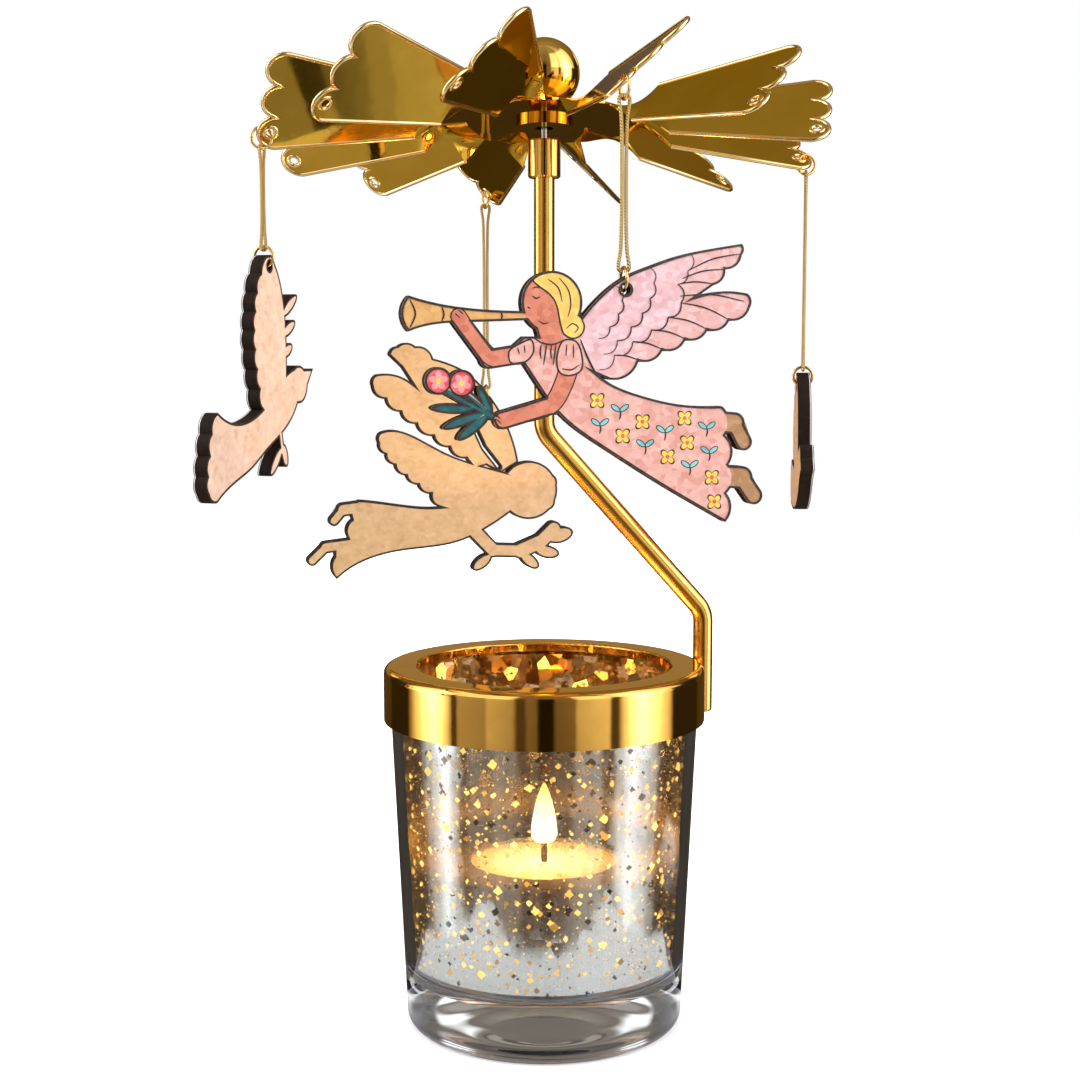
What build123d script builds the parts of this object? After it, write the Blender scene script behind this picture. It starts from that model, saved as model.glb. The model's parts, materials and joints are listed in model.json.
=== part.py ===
from build123d import *
from math import cos, pi, radians, sin, sqrt
import os

# Tealight carousel: a lined glass whose collar carries a bent arm, with a bladed rotor on the arm's
# needle that swings four flat charms round the glass.
# Millimetres, +Z up, origin on the table under the middle of the glass, front along -Y.

# Glass and lining
glass_height = 89.6
glass_rim_radius = 38.8
glass_base_radius = 34.5
glass_wall = 2.6
glass_floor = 14.0
glass_foot_round = 2.4
glass_rim_round = 0.9
glass_floor_round = 3.0
lining_thickness = 0.15
lining_clearance = 0.05
lining_rim_margin = 3.0

# Collar on the glass rim
collar_sheet = 0.8
collar_clearance = 0.4
collar_height = 13.4
collar_lip_gap = 3.8
collar_lip_depth = 2.2
collar_corner_round = 1.8
collar_lip_round = 0.5

# Bent arm with the post at its top
rod_radius = 2.5
rod_seat_depth = 0.2
rod_end_round = 0.8
arm_azimuth = 16.0
arm_foot_drop = 1.0
arm_rise = 11.5
arm_reach_height = 58.0
arm_bend_radius = 6.5
post_height = 126.5

# Sleeve and needle on the post
sleeve_wall = 1.4
sleeve_length = 9.2
sleeve_cap = 2.0
sleeve_clearance = 0.05
sleeve_edge = 0.4
needle_radius = 0.75
needle_clearance = 0.05
needle_socket_depth = 5.0
needle_height = 9.2
needle_point_length = 2.0

# Rotor: levels are measured from the needle's point along the rotor's own axis
rotor_lean = 5.0
rotor_phase = 19.0
vane_count = 12
vane_sheet = 0.5
vane_pitch = 44.0
disc_drop = 5.0
disc_flat_radius = 24.0
neck_width = 9.5
neck_length = 7.0
vane_root_width = 14.0
lobe_count = 3
lobe_radius = 4.2
lobe_pitch = 8.4
lobe_centre_radius = 64.0
eyelet_radius = 1.4
eyelet_margin = 1.4
hub_clearance = 0.05
bush_bore_clearance = 1.45
bush_wall = 1.3
bush_flange_width = 3.5
bush_flange_thickness = 1.35
bush_top_drop = 0.5
washer_width = 1.45
washer_thickness = 0.8
ball_radius = 8.6
ball_neck_height = 1.85
ball_neck_wall = 0.65
bearing_radius = 0.8
bearing_apex_gap = 0.08

# Jump rings and cords
ring_radius = 2.4
ring_wire = 0.7
ring_seat_clearance = 0.2
cord_diameter = 0.6
cord_half_spread = 1.25
cord_clearance = 0.05

# Charms: flat boards with a printed face, each hung from a hole at its drawing's origin;
# the drawings' numbers are in units of charm_unit
charm_board = 3.0
charm_print = 0.15
charm_hole_radius = 1.1
charm_seat_clearance = 0.1
charm_unit = 1.0
scallop_depth = 0.2
wing_slot_width = 0.9

# Tealight
cup_radius = 19.0
cup_height = 27.0
cup_wall = 0.4
cup_rim_round = 0.15
wax_clearance = 0.05
wax_drop = 1.0
wick_radius = 0.8
wick_height = 6.5
wick_clearance = 0.05
tab_radius = 6.0
tab_thickness = 0.3

# Worked-out places
collar_inner_radius = glass_rim_radius + collar_clearance
collar_radius = collar_inner_radius + collar_sheet
collar_opening_radius = glass_rim_radius - glass_wall - collar_lip_gap - collar_sheet
collar_top = glass_height + collar_sheet
collar_bottom = collar_top - collar_height
glass_slope = (glass_rim_radius - glass_base_radius) / glass_height
arm_foot_radius = collar_radius + rod_radius - rod_seat_depth
arm_foot_level = collar_bottom - arm_foot_drop
arm_elbow_level = collar_top + arm_rise
post_bottom = collar_top + arm_reach_height
post_top = collar_top + post_height
sleeve_radius = rod_radius + sleeve_clearance + sleeve_wall
sleeve_top = post_top + sleeve_cap
sleeve_bottom = sleeve_top - sleeve_length
needle_tip = sleeve_top + needle_height
disc_under = -disc_drop - vane_sheet / 2
disc_over = -disc_drop + vane_sheet / 2
bush_bore_radius = needle_radius + bush_bore_clearance
bush_radius = bush_bore_radius + bush_wall
bush_flange_radius = bush_radius + bush_flange_width
hub_hole_radius = bush_radius + hub_clearance
washer_radius = hub_hole_radius + washer_width
washer_top = disc_over + washer_thickness
ball_neck_radius = hub_hole_radius + ball_neck_wall
ball_centre_rise = washer_top + ball_neck_height + ball_radius
wick_base = glass_floor + cup_wall + tab_thickness
wax_top = glass_floor + cup_height - wax_drop
ring_inner_radius = ring_radius - ring_wire / 2
strip_half_height = vane_sheet / 2 / cos(radians(vane_pitch))
ring_seat_reach = sqrt(ring_inner_radius**2 - (eyelet_margin / 2) ** 2)
ring_seat_drop = ring_seat_reach - strip_half_height - ring_seat_clearance
charm_half_depth = charm_board / 2 + charm_print
charm_seat_rise = sqrt(ring_inner_radius**2 - charm_half_depth**2) - charm_seat_clearance
charm_ring_rise = charm_hole_radius + charm_seat_rise

lean = radians(rotor_lean)
rotor_plane = Plane((0, 0, needle_tip), x_dir=(1, 0, 0), z_dir=(0, sin(lean), cos(lean)))
rotor_axis = Axis(rotor_plane.origin, rotor_plane.z_dir)
rotor_profile_plane = Plane((0, 0, needle_tip), x_dir=(1, 0, 0), z_dir=(0, -cos(lean), sin(lean)))
turning_plane = Plane.XZ


def save(piece, name):
    """Label a finished piece and write it as its own file."""
    piece.part.label = name
    export_step(piece.part, f"parts/{name}.step")


def turned(points, plane=turning_plane, axis=Axis.Z):
    """A turned solid from a closed profile of radius and height pairs."""
    with BuildPart() as piece:
        with BuildSketch(plane):
            with BuildLine():
                Polyline(*points, close=True)
            make_face()
        revolve(axis=axis)
    return piece


def glass_outer(level):
    """Outside radius of the glass at a height."""
    return glass_base_radius + glass_slope * level


def glass_inner(level):
    """Inside radius of the glass at a height."""
    return glass_outer(level) - glass_wall


def vane_frame(index):
    """Plane of a blade: X out along the blade, Y up its pitched chord, Z out of its upper face."""
    turn = Location((0, 0, -disc_drop), (0, 0, rotor_phase + index * 360 / vane_count))
    return Plane(rotor_plane.location * turn * Location((0, 0, 0), (vane_pitch, 0, 0)))


def neck_frame(index, radius, pitch):
    """Plane across a blade's neck at a radius: X along the chord, Z outwards."""
    turn = Location((0, 0, -disc_drop), (0, 0, rotor_phase + index * 360 / vane_count))
    flat = Plane(rotor_plane.location * turn * Location((0, 0, 0), (pitch, 0, 0)))
    return Plane(flat.from_local_coords((radius, 0, 0)), x_dir=flat.y_dir, z_dir=flat.x_dir)


def jump_ring(centre, across):
    """A round wire ring in the upright plane whose normal is the level direction across."""
    with BuildPart(Plane(centre, x_dir=(0, 0, 1), z_dir=across)) as ring:
        Torus(ring_radius, ring_wire / 2)
    return ring


def cord_loop(top_wire, bottom_wire, side):
    """A doubled cord, over the wire at its top and under the wire at its bottom."""
    reach = ring_wire / 2 + cord_clearance + cord_diameter / 2
    upper = top_wire.Z + reach - cord_half_spread - bottom_wire.Z
    lower = cord_half_spread - reach
    loop_plane = Plane(bottom_wire, x_dir=side, z_dir=side.cross(Vector(0, 0, 1)))
    with BuildPart() as cord:
        with BuildLine(loop_plane) as route:
            Line((cord_half_spread, lower), (cord_half_spread, upper))
            ThreePointArc(
                (cord_half_spread, upper), (0, upper + cord_half_spread), (-cord_half_spread, upper)
            )
            Line((-cord_half_spread, upper), (-cord_half_spread, lower))
            ThreePointArc(
                (-cord_half_spread, lower), (0, lower - cord_half_spread), (cord_half_spread, lower)
            )
        with BuildSketch(Plane(route.line @ 0, z_dir=route.line % 0)):
            Circle(cord_diameter / 2)
        sweep()
    length = 2 * (upper - lower) + 2 * pi * cord_half_spread
    section = pi * (cord_diameter / 2) ** 2
    print("cord loop", round(length, 1), "mm, bends", cord_half_spread, "mm, volume ratio",
          round(cord.part.volume / (section * length), 4))
    return cord


def limb(start, end, width, mode=Mode.ADD):
    """A round-ended limb or slot between two points of a charm's drawing."""
    middle = (Vector(*start) + Vector(*end)) * 0.5
    SlotCenterPoint((middle.X, middle.Y), end, width, mode=mode)


def leaf(x, y, length, width, turn):
    """One leaf, petal or feather of a drawing."""
    with Locations((x, y)):
        Ellipse(length / 2, width / 2, rotation=turn)


def scallops(*points):
    """A row of rounded feather tips from point to point, bulging to the left of the way."""
    for start, end in zip(points, points[1:]):
        chord = (Vector(*end) - Vector(*start)).length
        SagittaArc(start, end, scallop_depth * chord)


def trumpet_angel():
    """Flying angel with a trumpet; the head points along -X."""
    with BuildSketch() as drawing:
        # Dress with a scalloped hem
        with BuildLine():
            Polyline((-24, -11.7), (-21.6, -9.6), (-9.6, -9.6))
            Spline((-9.6, -9.6), (-6, -17.4), (3.4, -21.8), (10, -23.4), (21.2, -24.1))
            scallops((21.2, -24.1), (22, -30.2), (22.8, -36.4), (22.4, -42.5), (22.2, -48.6))
            Spline((22.2, -48.6), (8.2, -40.6), (-4.6, -32.6), (-13.6, -26), (-19.5, -18.4), (-24, -11.7))
        make_face()
        # Wing of two lobes, with the hanging hole near its top edge
        with BuildLine():
            Spline((-9.6, -6), (-4.6, -0.6), (0, 2.7), (5, 4.8), (11, 6.9), (18, 8.5), (25.2, 9.7))
            scallops((25.2, 9.7), (25.2, 7.4), (21.6, 4.4), (19.2, 1.2))
            Line((19.2, 1.2), (15.6, -1.2))
            Spline((15.6, -1.2), (20.4, -0.2), (26.6, -0.6))
            scallops((26.6, -0.6), (27.2, -3.4), (22.6, -6.2), (17.8, -8.2), (13, -10.2), (8, -12.4))
            scallops((8, -12.4), (2.8, -14.6), (-3.6, -18.4))
            Polyline((-3.6, -18.4), (-7.4, -16.8), (-12.6, -11), (-9.6, -6))
        make_face()
        # Head, neck and a curl
        with Locations((-15.7, -2.7)):
            Circle(6.4)
        with Locations((-11.3, -7.6)):
            Circle(2.8)
        limb((-16.6, -7), (-15.4, -11), 5.4)
        # Trumpet
        with BuildLine():
            Spline((-20, -4.5), (-26, -4.4), (-31.5, -4.1), (-37.5, -3.4), (-45.4, -1.5))
            ThreePointArc((-45.4, -1.5), (-46.9, -5.1), (-45.4, -8.7))
            Spline((-45.4, -8.7), (-41, -7.4), (-36.5, -6.9), (-31, -6.7), (-25.5, -6.5), (-20, -6.3))
            Line((-20, -6.3), (-20, -4.5))
        make_face()
        # Arm at the trumpet, and the other arm with a sprig
        limb((-21, -13), (-28.8, -14.2), 4)
        limb((-28.8, -14.2), (-35, -6), 3.5)
        limb((-12.2, -17), (-15.4, -23.6), 4.2)
        limb((-15.4, -23.6), (-26, -26.6), 3.8)
        limb((-39, -20), (-28, -26), 1.6)
        limb((-34.6, -20), (-28, -26), 1.6)
        with Locations((-39.4, -18.6), (-34.6, -19.1)):
            Circle(2.8)
        leaf(-36.4, -24.2, 9, 2.2, 178)
        leaf(-34.2, -26.6, 9.4, 2.2, 20)
        leaf(-32.2, -28, 8.4, 2.4, 38)
        leaf(-29.8, -22.4, 6.4, 2, 118)
        # Feet
        limb((19, -27.2), (24, -27.7), 4.6)
        limb((24, -27.7), (26.2, -31.7), 3.6)
        limb((20, -38.8), (25.8, -39.2), 4.8)
        limb((25.8, -39.2), (28.6, -43.1), 3.8)
    return drawing.sketch


def branch_angel():
    """Flying angel with a branch; the head points along -X."""
    with BuildSketch() as drawing:
        # Dress with a scalloped hem
        with BuildLine():
            Spline((-6, -22), (4, -27), (13.8, -29.4), (23.5, -28.8), (36.6, -27))
            scallops((36.6, -27), (38.6, -32.4), (39.8, -37.6), (43.6, -42.6), (43, -49))
            Spline((43, -49), (33.4, -43.4), (25.6, -41.6), (7.3, -39), (0.8, -36), (-7, -31))
            Line((-7, -31), (-6, -22))
        make_face()
        # Lower wing
        with BuildLine():
            Spline((-6, -20), (3.3, -17.4), (11.1, -14.6), (20.1, -9.8), (26.6, -7.6), (30.4, -8.2))
            scallops((30.4, -8.2), (31, -11.2), (29, -14.4), (26.4, -17.4), (23.2, -20.4), (19.8, -23))
            scallops((19.8, -23), (16.2, -25.6), (13.8, -29.4))
            Polyline((13.8, -29.4), (-4, -30), (-6, -20))
        make_face()
        # Upper wing with the hanging hole, a feathered lobe above a longer one
        with BuildLine():
            Spline((-9, -17), (-7.4, -10.6), (-4, -3), (0, 2.7), (5.6, 8.2), (11, 10.9), (15.4, 12.2))
            scallops((15.4, 12.2), (20.4, 15.6), (25.4, 15.6), (27.8, 13.2))
            Polyline((27.8, 13.2), (24.2, 9.8), (21.2, 5.2))
            Spline((21.2, 5.2), (26.4, 7.8), (31.4, 7.8))
            scallops((31.4, 7.8), (32.6, 4.6), (28.8, 1), (24.6, -2.6), (20.2, -6), (15.4, -9.4))
            scallops((15.4, -9.4), (10.8, -12.6), (6, -15.8), (0.4, -17.8))
            Polyline((0.4, -17.8), (-4, -20), (-9, -17))
        make_face()
        # Slot that parts the upper wing from the shoulder
        limb((3.2, -8), (1, -12.8), wing_slot_width, Mode.SUBTRACT)
        limb((1, -12.8), (-3.4, -18.4), wing_slot_width, Mode.SUBTRACT)
        # Head with a curl
        with Locations((-12.1, -25.1)):
            Circle(8.3)
        with Locations((-17.8, -23), (-17.2, -28.4)):
            Circle(2.6)
        # Arm and leafy branch
        limb((3.6, -36.6), (-1.6, -42), 4.4)
        limb((-1.6, -42), (-9.6, -42.4), 4)
        limb((-9.6, -42.4), (-15.6, -40), 4.8)
        limb((-15.6, -40), (-19.4, -36.4), 4.6)
        leaf(1.6, -45.4, 6.8, 3.4, -37)
        leaf(-12.2, -45.2, 7, 3.6, 39)
        leaf(-17.4, -42.9, 7.4, 3.8, 12)
        leaf(-21.2, -38.2, 8, 4.6, 166)
        # Feet
        limb((35.6, -29), (41, -29.6), 3.8)
        limb((41, -29.6), (43.6, -32.6), 3)
        limb((38.6, -39.2), (46, -40), 3.4)
        limb((46, -40), (49.8, -43.6), 3)
    return drawing.sketch


def rising_dove():
    """Dove with both wings raised; the head points along -X."""
    with BuildSketch() as drawing:
        # Near wing, with the hanging hole at its tip
        with BuildLine():
            Spline((-8, -28), (-7.8, -13), (-4.8, -2.4), (-0.8, 2.7))
            scallops((-0.8, 2.7), (4.2, -1.8), (6.4, -6.2), (7.4, -10.6), (8, -15), (7.8, -19.4))
            scallops((7.8, -19.4), (7, -24), (5.8, -28.6), (4.4, -33.4))
            Polyline((4.4, -33.4), (0, -38), (-8, -28))
        make_face()
        # Feather tips of the far wing
        leaf(-10, -8.9, 9.4, 3, -33)
        leaf(-9.4, -14.4, 7.6, 3, -27)
        leaf(-8.6, -19.6, 5.6, 3, -27)
        # Body and fanned tail
        with BuildLine():
            Spline((-12.6, -23.8), (-6, -26.4), (2, -32), (12.9, -36), (25.6, -33.4))
            scallops((25.6, -33.4), (28.6, -38), (29.6, -42.8), (30.6, -47.4), (30.4, -51.4), (26.4, -53.4))
            Spline((26.4, -53.4), (17.8, -49.5), (9.8, -46.7), (3.3, -43.3), (-9, -37), (-14.4, -31))
            Line((-14.4, -31), (-12.6, -23.8))
        make_face()
        # Head and beak
        with Locations((-14.4, -27.8)):
            Circle(4.6)
        with BuildLine():
            Polyline((-16.6, -24.2), (-22.1, -24), (-18, -29.4), close=True)
        make_face()
        # Leafy branch held at the breast
        limb((-4, -38), (-5.4, -44), 2)
        leaf(-2, -45.8, 9, 3, -46)
        leaf(-6.4, -44.6, 6, 3.2, 70)
    return drawing.sketch


def gliding_dove():
    """Dove with swept wings; the head points along -X."""
    with BuildSketch() as drawing:
        # Wing, with the hanging hole at its tip
        with BuildLine():
            Spline((-9, -19), (-8.6, -10), (-5.4, -2), (0, 2.7))
            scallops((0, 2.7), (5, 1.4), (8, -2.4), (10.6, -6.2), (12.2, -10.6), (12.2, -15.2), (9, -20))
            Polyline((9, -20), (-2, -26), (-9, -19))
        make_face()
        # Body and fanned tail
        with BuildLine():
            Spline((-13, -15.5), (-2, -18), (8, -21), (15, -20.4))
            scallops((15, -20.4), (19.6, -21.4), (21.4, -25), (20.4, -29), (16.6, -31.6))
            Spline((16.6, -31.6), (4, -32), (-8, -29), (-18, -21.5))
            Line((-18, -21.5), (-13, -15.5))
        make_face()
        # Head and beak
        with Locations((-16, -18.6)):
            Circle(4.3)
        with BuildLine():
            Polyline((-19.2, -16.6), (-23.6, -20), (-18.6, -21.6), close=True)
        make_face()
    return drawing.sketch


# Each charm: name, blade that carries it, heading of its drawing's X, drop to its hole, drawing
charms = [
    ("angel_front", 9, 14.0, 42.5, trumpet_angel),
    ("dove_left", 6, 251.0, 31.0, rising_dove),
    ("angel_back", 3, 194.0, 57.8, branch_angel),
    ("dove_right", 0, 85.0, 56.5, gliding_dove),
]

os.makedirs("parts", exist_ok=True)

# Glass: thick-based, with a rounded foot, a rounded floor and a fire-polished rim
with BuildPart() as glass_tumbler:
    with BuildSketch(turning_plane):
        with BuildLine():
            Polyline(
                (0, 0),
                (glass_base_radius, 0),
                (glass_rim_radius, glass_height),
                (glass_rim_radius - glass_wall, glass_height),
                (glass_inner(glass_floor), glass_floor),
                (0, glass_floor),
                close=True,
            )
        make_face()
    revolve(axis=Axis.Z)
    rings = glass_tumbler.edges().filter_by(GeomType.CIRCLE).group_by(Axis.Z)
    fillet(rings[0], glass_foot_round)
    rings = glass_tumbler.edges().filter_by(GeomType.CIRCLE).group_by(Axis.Z)
    fillet(rings[-1], glass_rim_round)
    floor_edge = glass_tumbler.edges().filter_by(GeomType.CIRCLE).filter_by_position(
        Axis.Z, glass_floor, glass_floor
    )
    fillet(floor_edge, glass_floor_round)
save(glass_tumbler, "glass_tumbler")

# Silver lining: a thin coat on the inner wall
lining_bottom = glass_floor + glass_floor_round
lining_top = glass_height - lining_rim_margin
lining_low_radius = glass_inner(lining_bottom) - lining_clearance
lining_high_radius = glass_inner(lining_top) - lining_clearance
glass_lining = turned(
    [
        (lining_low_radius, lining_bottom),
        (lining_high_radius, lining_top),
        (lining_high_radius - lining_thickness, lining_top),
        (lining_low_radius - lining_thickness, lining_bottom),
    ]
)
save(glass_lining, "glass_lining")

# Collar: skirt outside the rim, flange on it, lip turned down round the opening
with BuildPart() as collar_ring:
    with BuildSketch(turning_plane):
        with BuildLine():
            Polyline(
                (collar_radius, collar_bottom),
                (collar_radius, collar_top),
                (collar_opening_radius, collar_top),
                (collar_opening_radius, collar_top - collar_lip_depth),
                (collar_opening_radius + collar_sheet, collar_top - collar_lip_depth),
                (collar_opening_radius + collar_sheet, glass_height),
                (collar_inner_radius, glass_height),
                (collar_inner_radius, collar_bottom),
                close=True,
            )
        make_face()
    revolve(axis=Axis.Z)
    top_rings = collar_ring.edges().filter_by(GeomType.CIRCLE).group_by(Axis.Z)[-1].sort_by(SortBy.RADIUS)
    fillet(top_rings[-1], collar_corner_round)
    top_rings = collar_ring.edges().filter_by(GeomType.CIRCLE).group_by(Axis.Z)[-1].sort_by(SortBy.RADIUS)
    fillet(top_rings[0], collar_lip_round)
save(collar_ring, "collar_ring")

# Arm: one bent rod, seated against the collar's wall, drilled at its top for the needle
arm_way = Vector(cos(radians(arm_azimuth)), sin(radians(arm_azimuth)), 0)
arm_plane = Plane((0, 0, 0), x_dir=arm_way, z_dir=arm_way.cross(Vector(0, 0, 1)))
with BuildPart() as arm_rod:
    with BuildLine(arm_plane) as arm_route:
        FilletPolyline(
            (arm_foot_radius, arm_foot_level),
            (arm_foot_radius, arm_elbow_level),
            (0, post_bottom),
            (0, post_top),
            radius=arm_bend_radius,
        )
    with BuildSketch(Plane(arm_route.line @ 0, z_dir=arm_route.line % 0)):
        Circle(rod_radius)
    sweep()
    fillet(arm_rod.edges().filter_by(GeomType.CIRCLE).sort_by(Axis.Z)[0], rod_end_round)
    with BuildSketch(Plane.XY.offset(arm_foot_level)):
        Circle(collar_radius)
    extrude(amount=collar_top - arm_foot_level, mode=Mode.SUBTRACT)
    with BuildSketch(Plane.XY.offset(post_top)):
        Circle(needle_radius + needle_clearance)
    extrude(amount=-needle_socket_depth, mode=Mode.SUBTRACT)
save(arm_rod, "arm_rod")

# Sleeve over the post's end, with the needle through its cap
with BuildPart() as post_sleeve:
    with BuildSketch(Plane.XY.offset(sleeve_bottom)):
        Circle(sleeve_radius)
    extrude(amount=sleeve_length)
    chamfer(post_sleeve.edges().filter_by(GeomType.CIRCLE), sleeve_edge)
    with BuildSketch(Plane.XY.offset(sleeve_bottom)):
        Circle(rod_radius + sleeve_clearance)
    extrude(amount=post_top - sleeve_bottom, mode=Mode.SUBTRACT)
    with BuildSketch(Plane.XY.offset(sleeve_bottom)):
        Circle(needle_radius + needle_clearance)
    extrude(amount=sleeve_length, mode=Mode.SUBTRACT)
save(post_sleeve, "post_sleeve")

# Needle: stands in the post's socket and carries the rotor on its point
pivot_needle = turned(
    [
        (0, post_top - needle_socket_depth + needle_clearance),
        (needle_radius, post_top - needle_socket_depth + needle_clearance),
        (needle_radius, needle_tip - needle_point_length),
        (0, needle_tip),
    ]
)
save(pivot_needle, "pivot_needle")

# Rotor: flat twelve-sided disc, with a twisted neck, a pitched blade and an eyelet on each side
vane_half_width = lobe_pitch * (lobe_count - 1) / 2 + lobe_radius
neck_end = disc_flat_radius + neck_length
eyelet_centre = lobe_centre_radius + lobe_radius - eyelet_margin - eyelet_radius
low_lobe = -lobe_pitch * (lobe_count - 1) / 2
disc_turn = Location((0, 0, disc_under), (0, 0, rotor_phase))
with BuildPart() as rotor_vanes:
    with BuildSketch(Plane(rotor_plane.location * disc_turn)):
        RegularPolygon(disc_flat_radius, vane_count, major_radius=False, rotation=180 / vane_count)
        Circle(hub_hole_radius, mode=Mode.SUBTRACT)
    extrude(amount=vane_sheet)
    for index in range(vane_count):
        with BuildSketch(neck_frame(index, disc_flat_radius, 0)):
            Rectangle(neck_width, vane_sheet)
        with BuildSketch(neck_frame(index, neck_end, vane_pitch)):
            Rectangle(vane_root_width, vane_sheet)
        loft()
        with BuildSketch(vane_frame(index)):
            with BuildLine():
                Polyline(
                    (neck_end, -vane_root_width / 2),
                    (lobe_centre_radius, -vane_half_width),
                    (lobe_centre_radius, vane_half_width),
                    (neck_end, vane_root_width / 2),
                    close=True,
                )
            make_face()
            with GridLocations(0, lobe_pitch, 1, lobe_count):
                with Locations((lobe_centre_radius, 0)):
                    Circle(lobe_radius)
            with Locations((eyelet_centre, low_lobe)):
                Circle(eyelet_radius, mode=Mode.SUBTRACT)
        extrude(amount=vane_sheet / 2, both=True)
save(rotor_vanes, "rotor_vanes")

# Hub: flanged bush up through the disc, washer on the disc, ball finial on top
hub_bush = turned(
    [
        (bush_bore_radius, disc_under - bush_flange_thickness),
        (bush_flange_radius, disc_under - bush_flange_thickness),
        (bush_flange_radius, disc_under),
        (bush_radius, disc_under),
        (bush_radius, -bush_top_drop),
        (bush_bore_radius, -bush_top_drop),
    ],
    rotor_profile_plane,
    rotor_axis,
)
save(hub_bush, "hub_bush")

hub_washer = turned(
    [
        (hub_hole_radius, disc_over),
        (washer_radius, disc_over),
        (washer_radius, washer_top),
        (hub_hole_radius, washer_top),
    ],
    rotor_profile_plane,
    rotor_axis,
)
save(hub_washer, "hub_washer")

socket_top = -bush_top_drop + hub_clearance
with BuildPart() as ball_finial:
    with BuildSketch(rotor_profile_plane):
        with Locations((0, ball_centre_rise)):
            Circle(ball_radius)
        with BuildLine():
            Polyline(
                (0, washer_top),
                (ball_neck_radius, washer_top),
                (ball_neck_radius, ball_centre_rise),
                (0, ball_centre_rise),
                close=True,
            )
        make_face()
        with BuildLine():
            Polyline(
                (0, washer_top),
                (hub_hole_radius, washer_top),
                (hub_hole_radius, socket_top),
                (bearing_radius, socket_top),
                (0, bearing_apex_gap),
                close=True,
            )
        make_face(mode=Mode.SUBTRACT)
        with Locations((-ball_radius, ball_centre_rise)):
            Rectangle(2 * ball_radius, 4 * ball_radius, mode=Mode.SUBTRACT)
    revolve(axis=rotor_axis)
save(ball_finial, "ball_finial")

# Hanging sets: upper ring in the blade's eyelet, doubled cord, lower ring, board and its print
strip_radius = eyelet_centre + eyelet_radius + eyelet_margin / 2
for name, vane, heading, drop, drawing in charms:
    strip = vane_frame(vane).from_local_coords((strip_radius, low_lobe, 0))
    azimuth = radians(rotor_phase + vane * 360 / vane_count)
    outwards = Vector(cos(azimuth), sin(azimuth), 0)
    along = Vector(cos(radians(heading)), sin(radians(heading)), 0)
    upper_centre = strip - Vector(0, 0, ring_seat_drop)
    hole = strip - Vector(0, 0, drop)
    lower_centre = hole + Vector(0, 0, charm_ring_rise)

    upper_ring = jump_ring(upper_centre, outwards.cross(Vector(0, 0, 1)))
    save(upper_ring, f"{name}_upper_ring")
    lower_ring = jump_ring(lower_centre, along)
    save(lower_ring, f"{name}_lower_ring")
    cord = cord_loop(
        upper_centre - Vector(0, 0, ring_radius), lower_centre + Vector(0, 0, ring_radius), along
    )
    save(cord, f"{name}_cord")

    face = along.cross(Vector(0, 0, 1))
    board_plane = Plane(hole + face * (charm_board / 2), x_dir=along, z_dir=face)
    with BuildPart() as board:
        with BuildSketch(board_plane):
            add(drawing().scale(charm_unit))
            Circle(charm_hole_radius, mode=Mode.SUBTRACT)
        extrude(amount=-charm_board)
    save(board, f"{name}_board")
    with BuildPart() as face_print:
        with BuildSketch(board_plane):
            add(drawing().scale(charm_unit))
            Circle(charm_hole_radius, mode=Mode.SUBTRACT)
        extrude(amount=charm_print)
    save(face_print, f"{name}_print")
    print(name, "strip", [round(v, 3) for v in strip], "hole", [round(v, 3) for v in hole])

# Tealight: metal cup, wick tab on its floor, wax round the tab and the wick
with BuildPart() as tealight_cup:
    with BuildSketch(Plane.XY.offset(glass_floor)):
        Circle(cup_radius)
    extrude(amount=cup_height)
    with BuildSketch(Plane.XY.offset(glass_floor + cup_wall)):
        Circle(cup_radius - cup_wall)
    extrude(amount=cup_height - cup_wall, mode=Mode.SUBTRACT)
    fillet(tealight_cup.edges().filter_by(GeomType.CIRCLE).group_by(Axis.Z)[-1], cup_rim_round)
save(tealight_cup, "tealight_cup")

with BuildPart() as wick_tab:
    with BuildSketch(Plane.XY.offset(glass_floor + cup_wall)):
        Circle(tab_radius)
    extrude(amount=tab_thickness)
save(wick_tab, "wick_tab")

with BuildPart() as tealight_wax:
    with BuildSketch(Plane.XY.offset(glass_floor + cup_wall)):
        Circle(cup_radius - cup_wall - wax_clearance)
    extrude(amount=wax_top - glass_floor - cup_wall)
    with BuildSketch(Plane.XY.offset(glass_floor + cup_wall)):
        Circle(tab_radius + wax_clearance)
    extrude(amount=tab_thickness, mode=Mode.SUBTRACT)
    with BuildSketch(Plane.XY.offset(wick_base)):
        Circle(wick_radius + wick_clearance)
    extrude(amount=wax_top - wick_base, mode=Mode.SUBTRACT)
save(tealight_wax, "tealight_wax")

with BuildPart() as tealight_wick:
    with BuildSketch(Plane.XY.offset(wick_base)):
        Circle(wick_radius)
    extrude(amount=wax_top + wick_height - wick_base)
save(tealight_wick, "tealight_wick")

print("needle tip", needle_tip, "post top", post_top, "collar", collar_bottom, collar_top, collar_radius)
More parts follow.
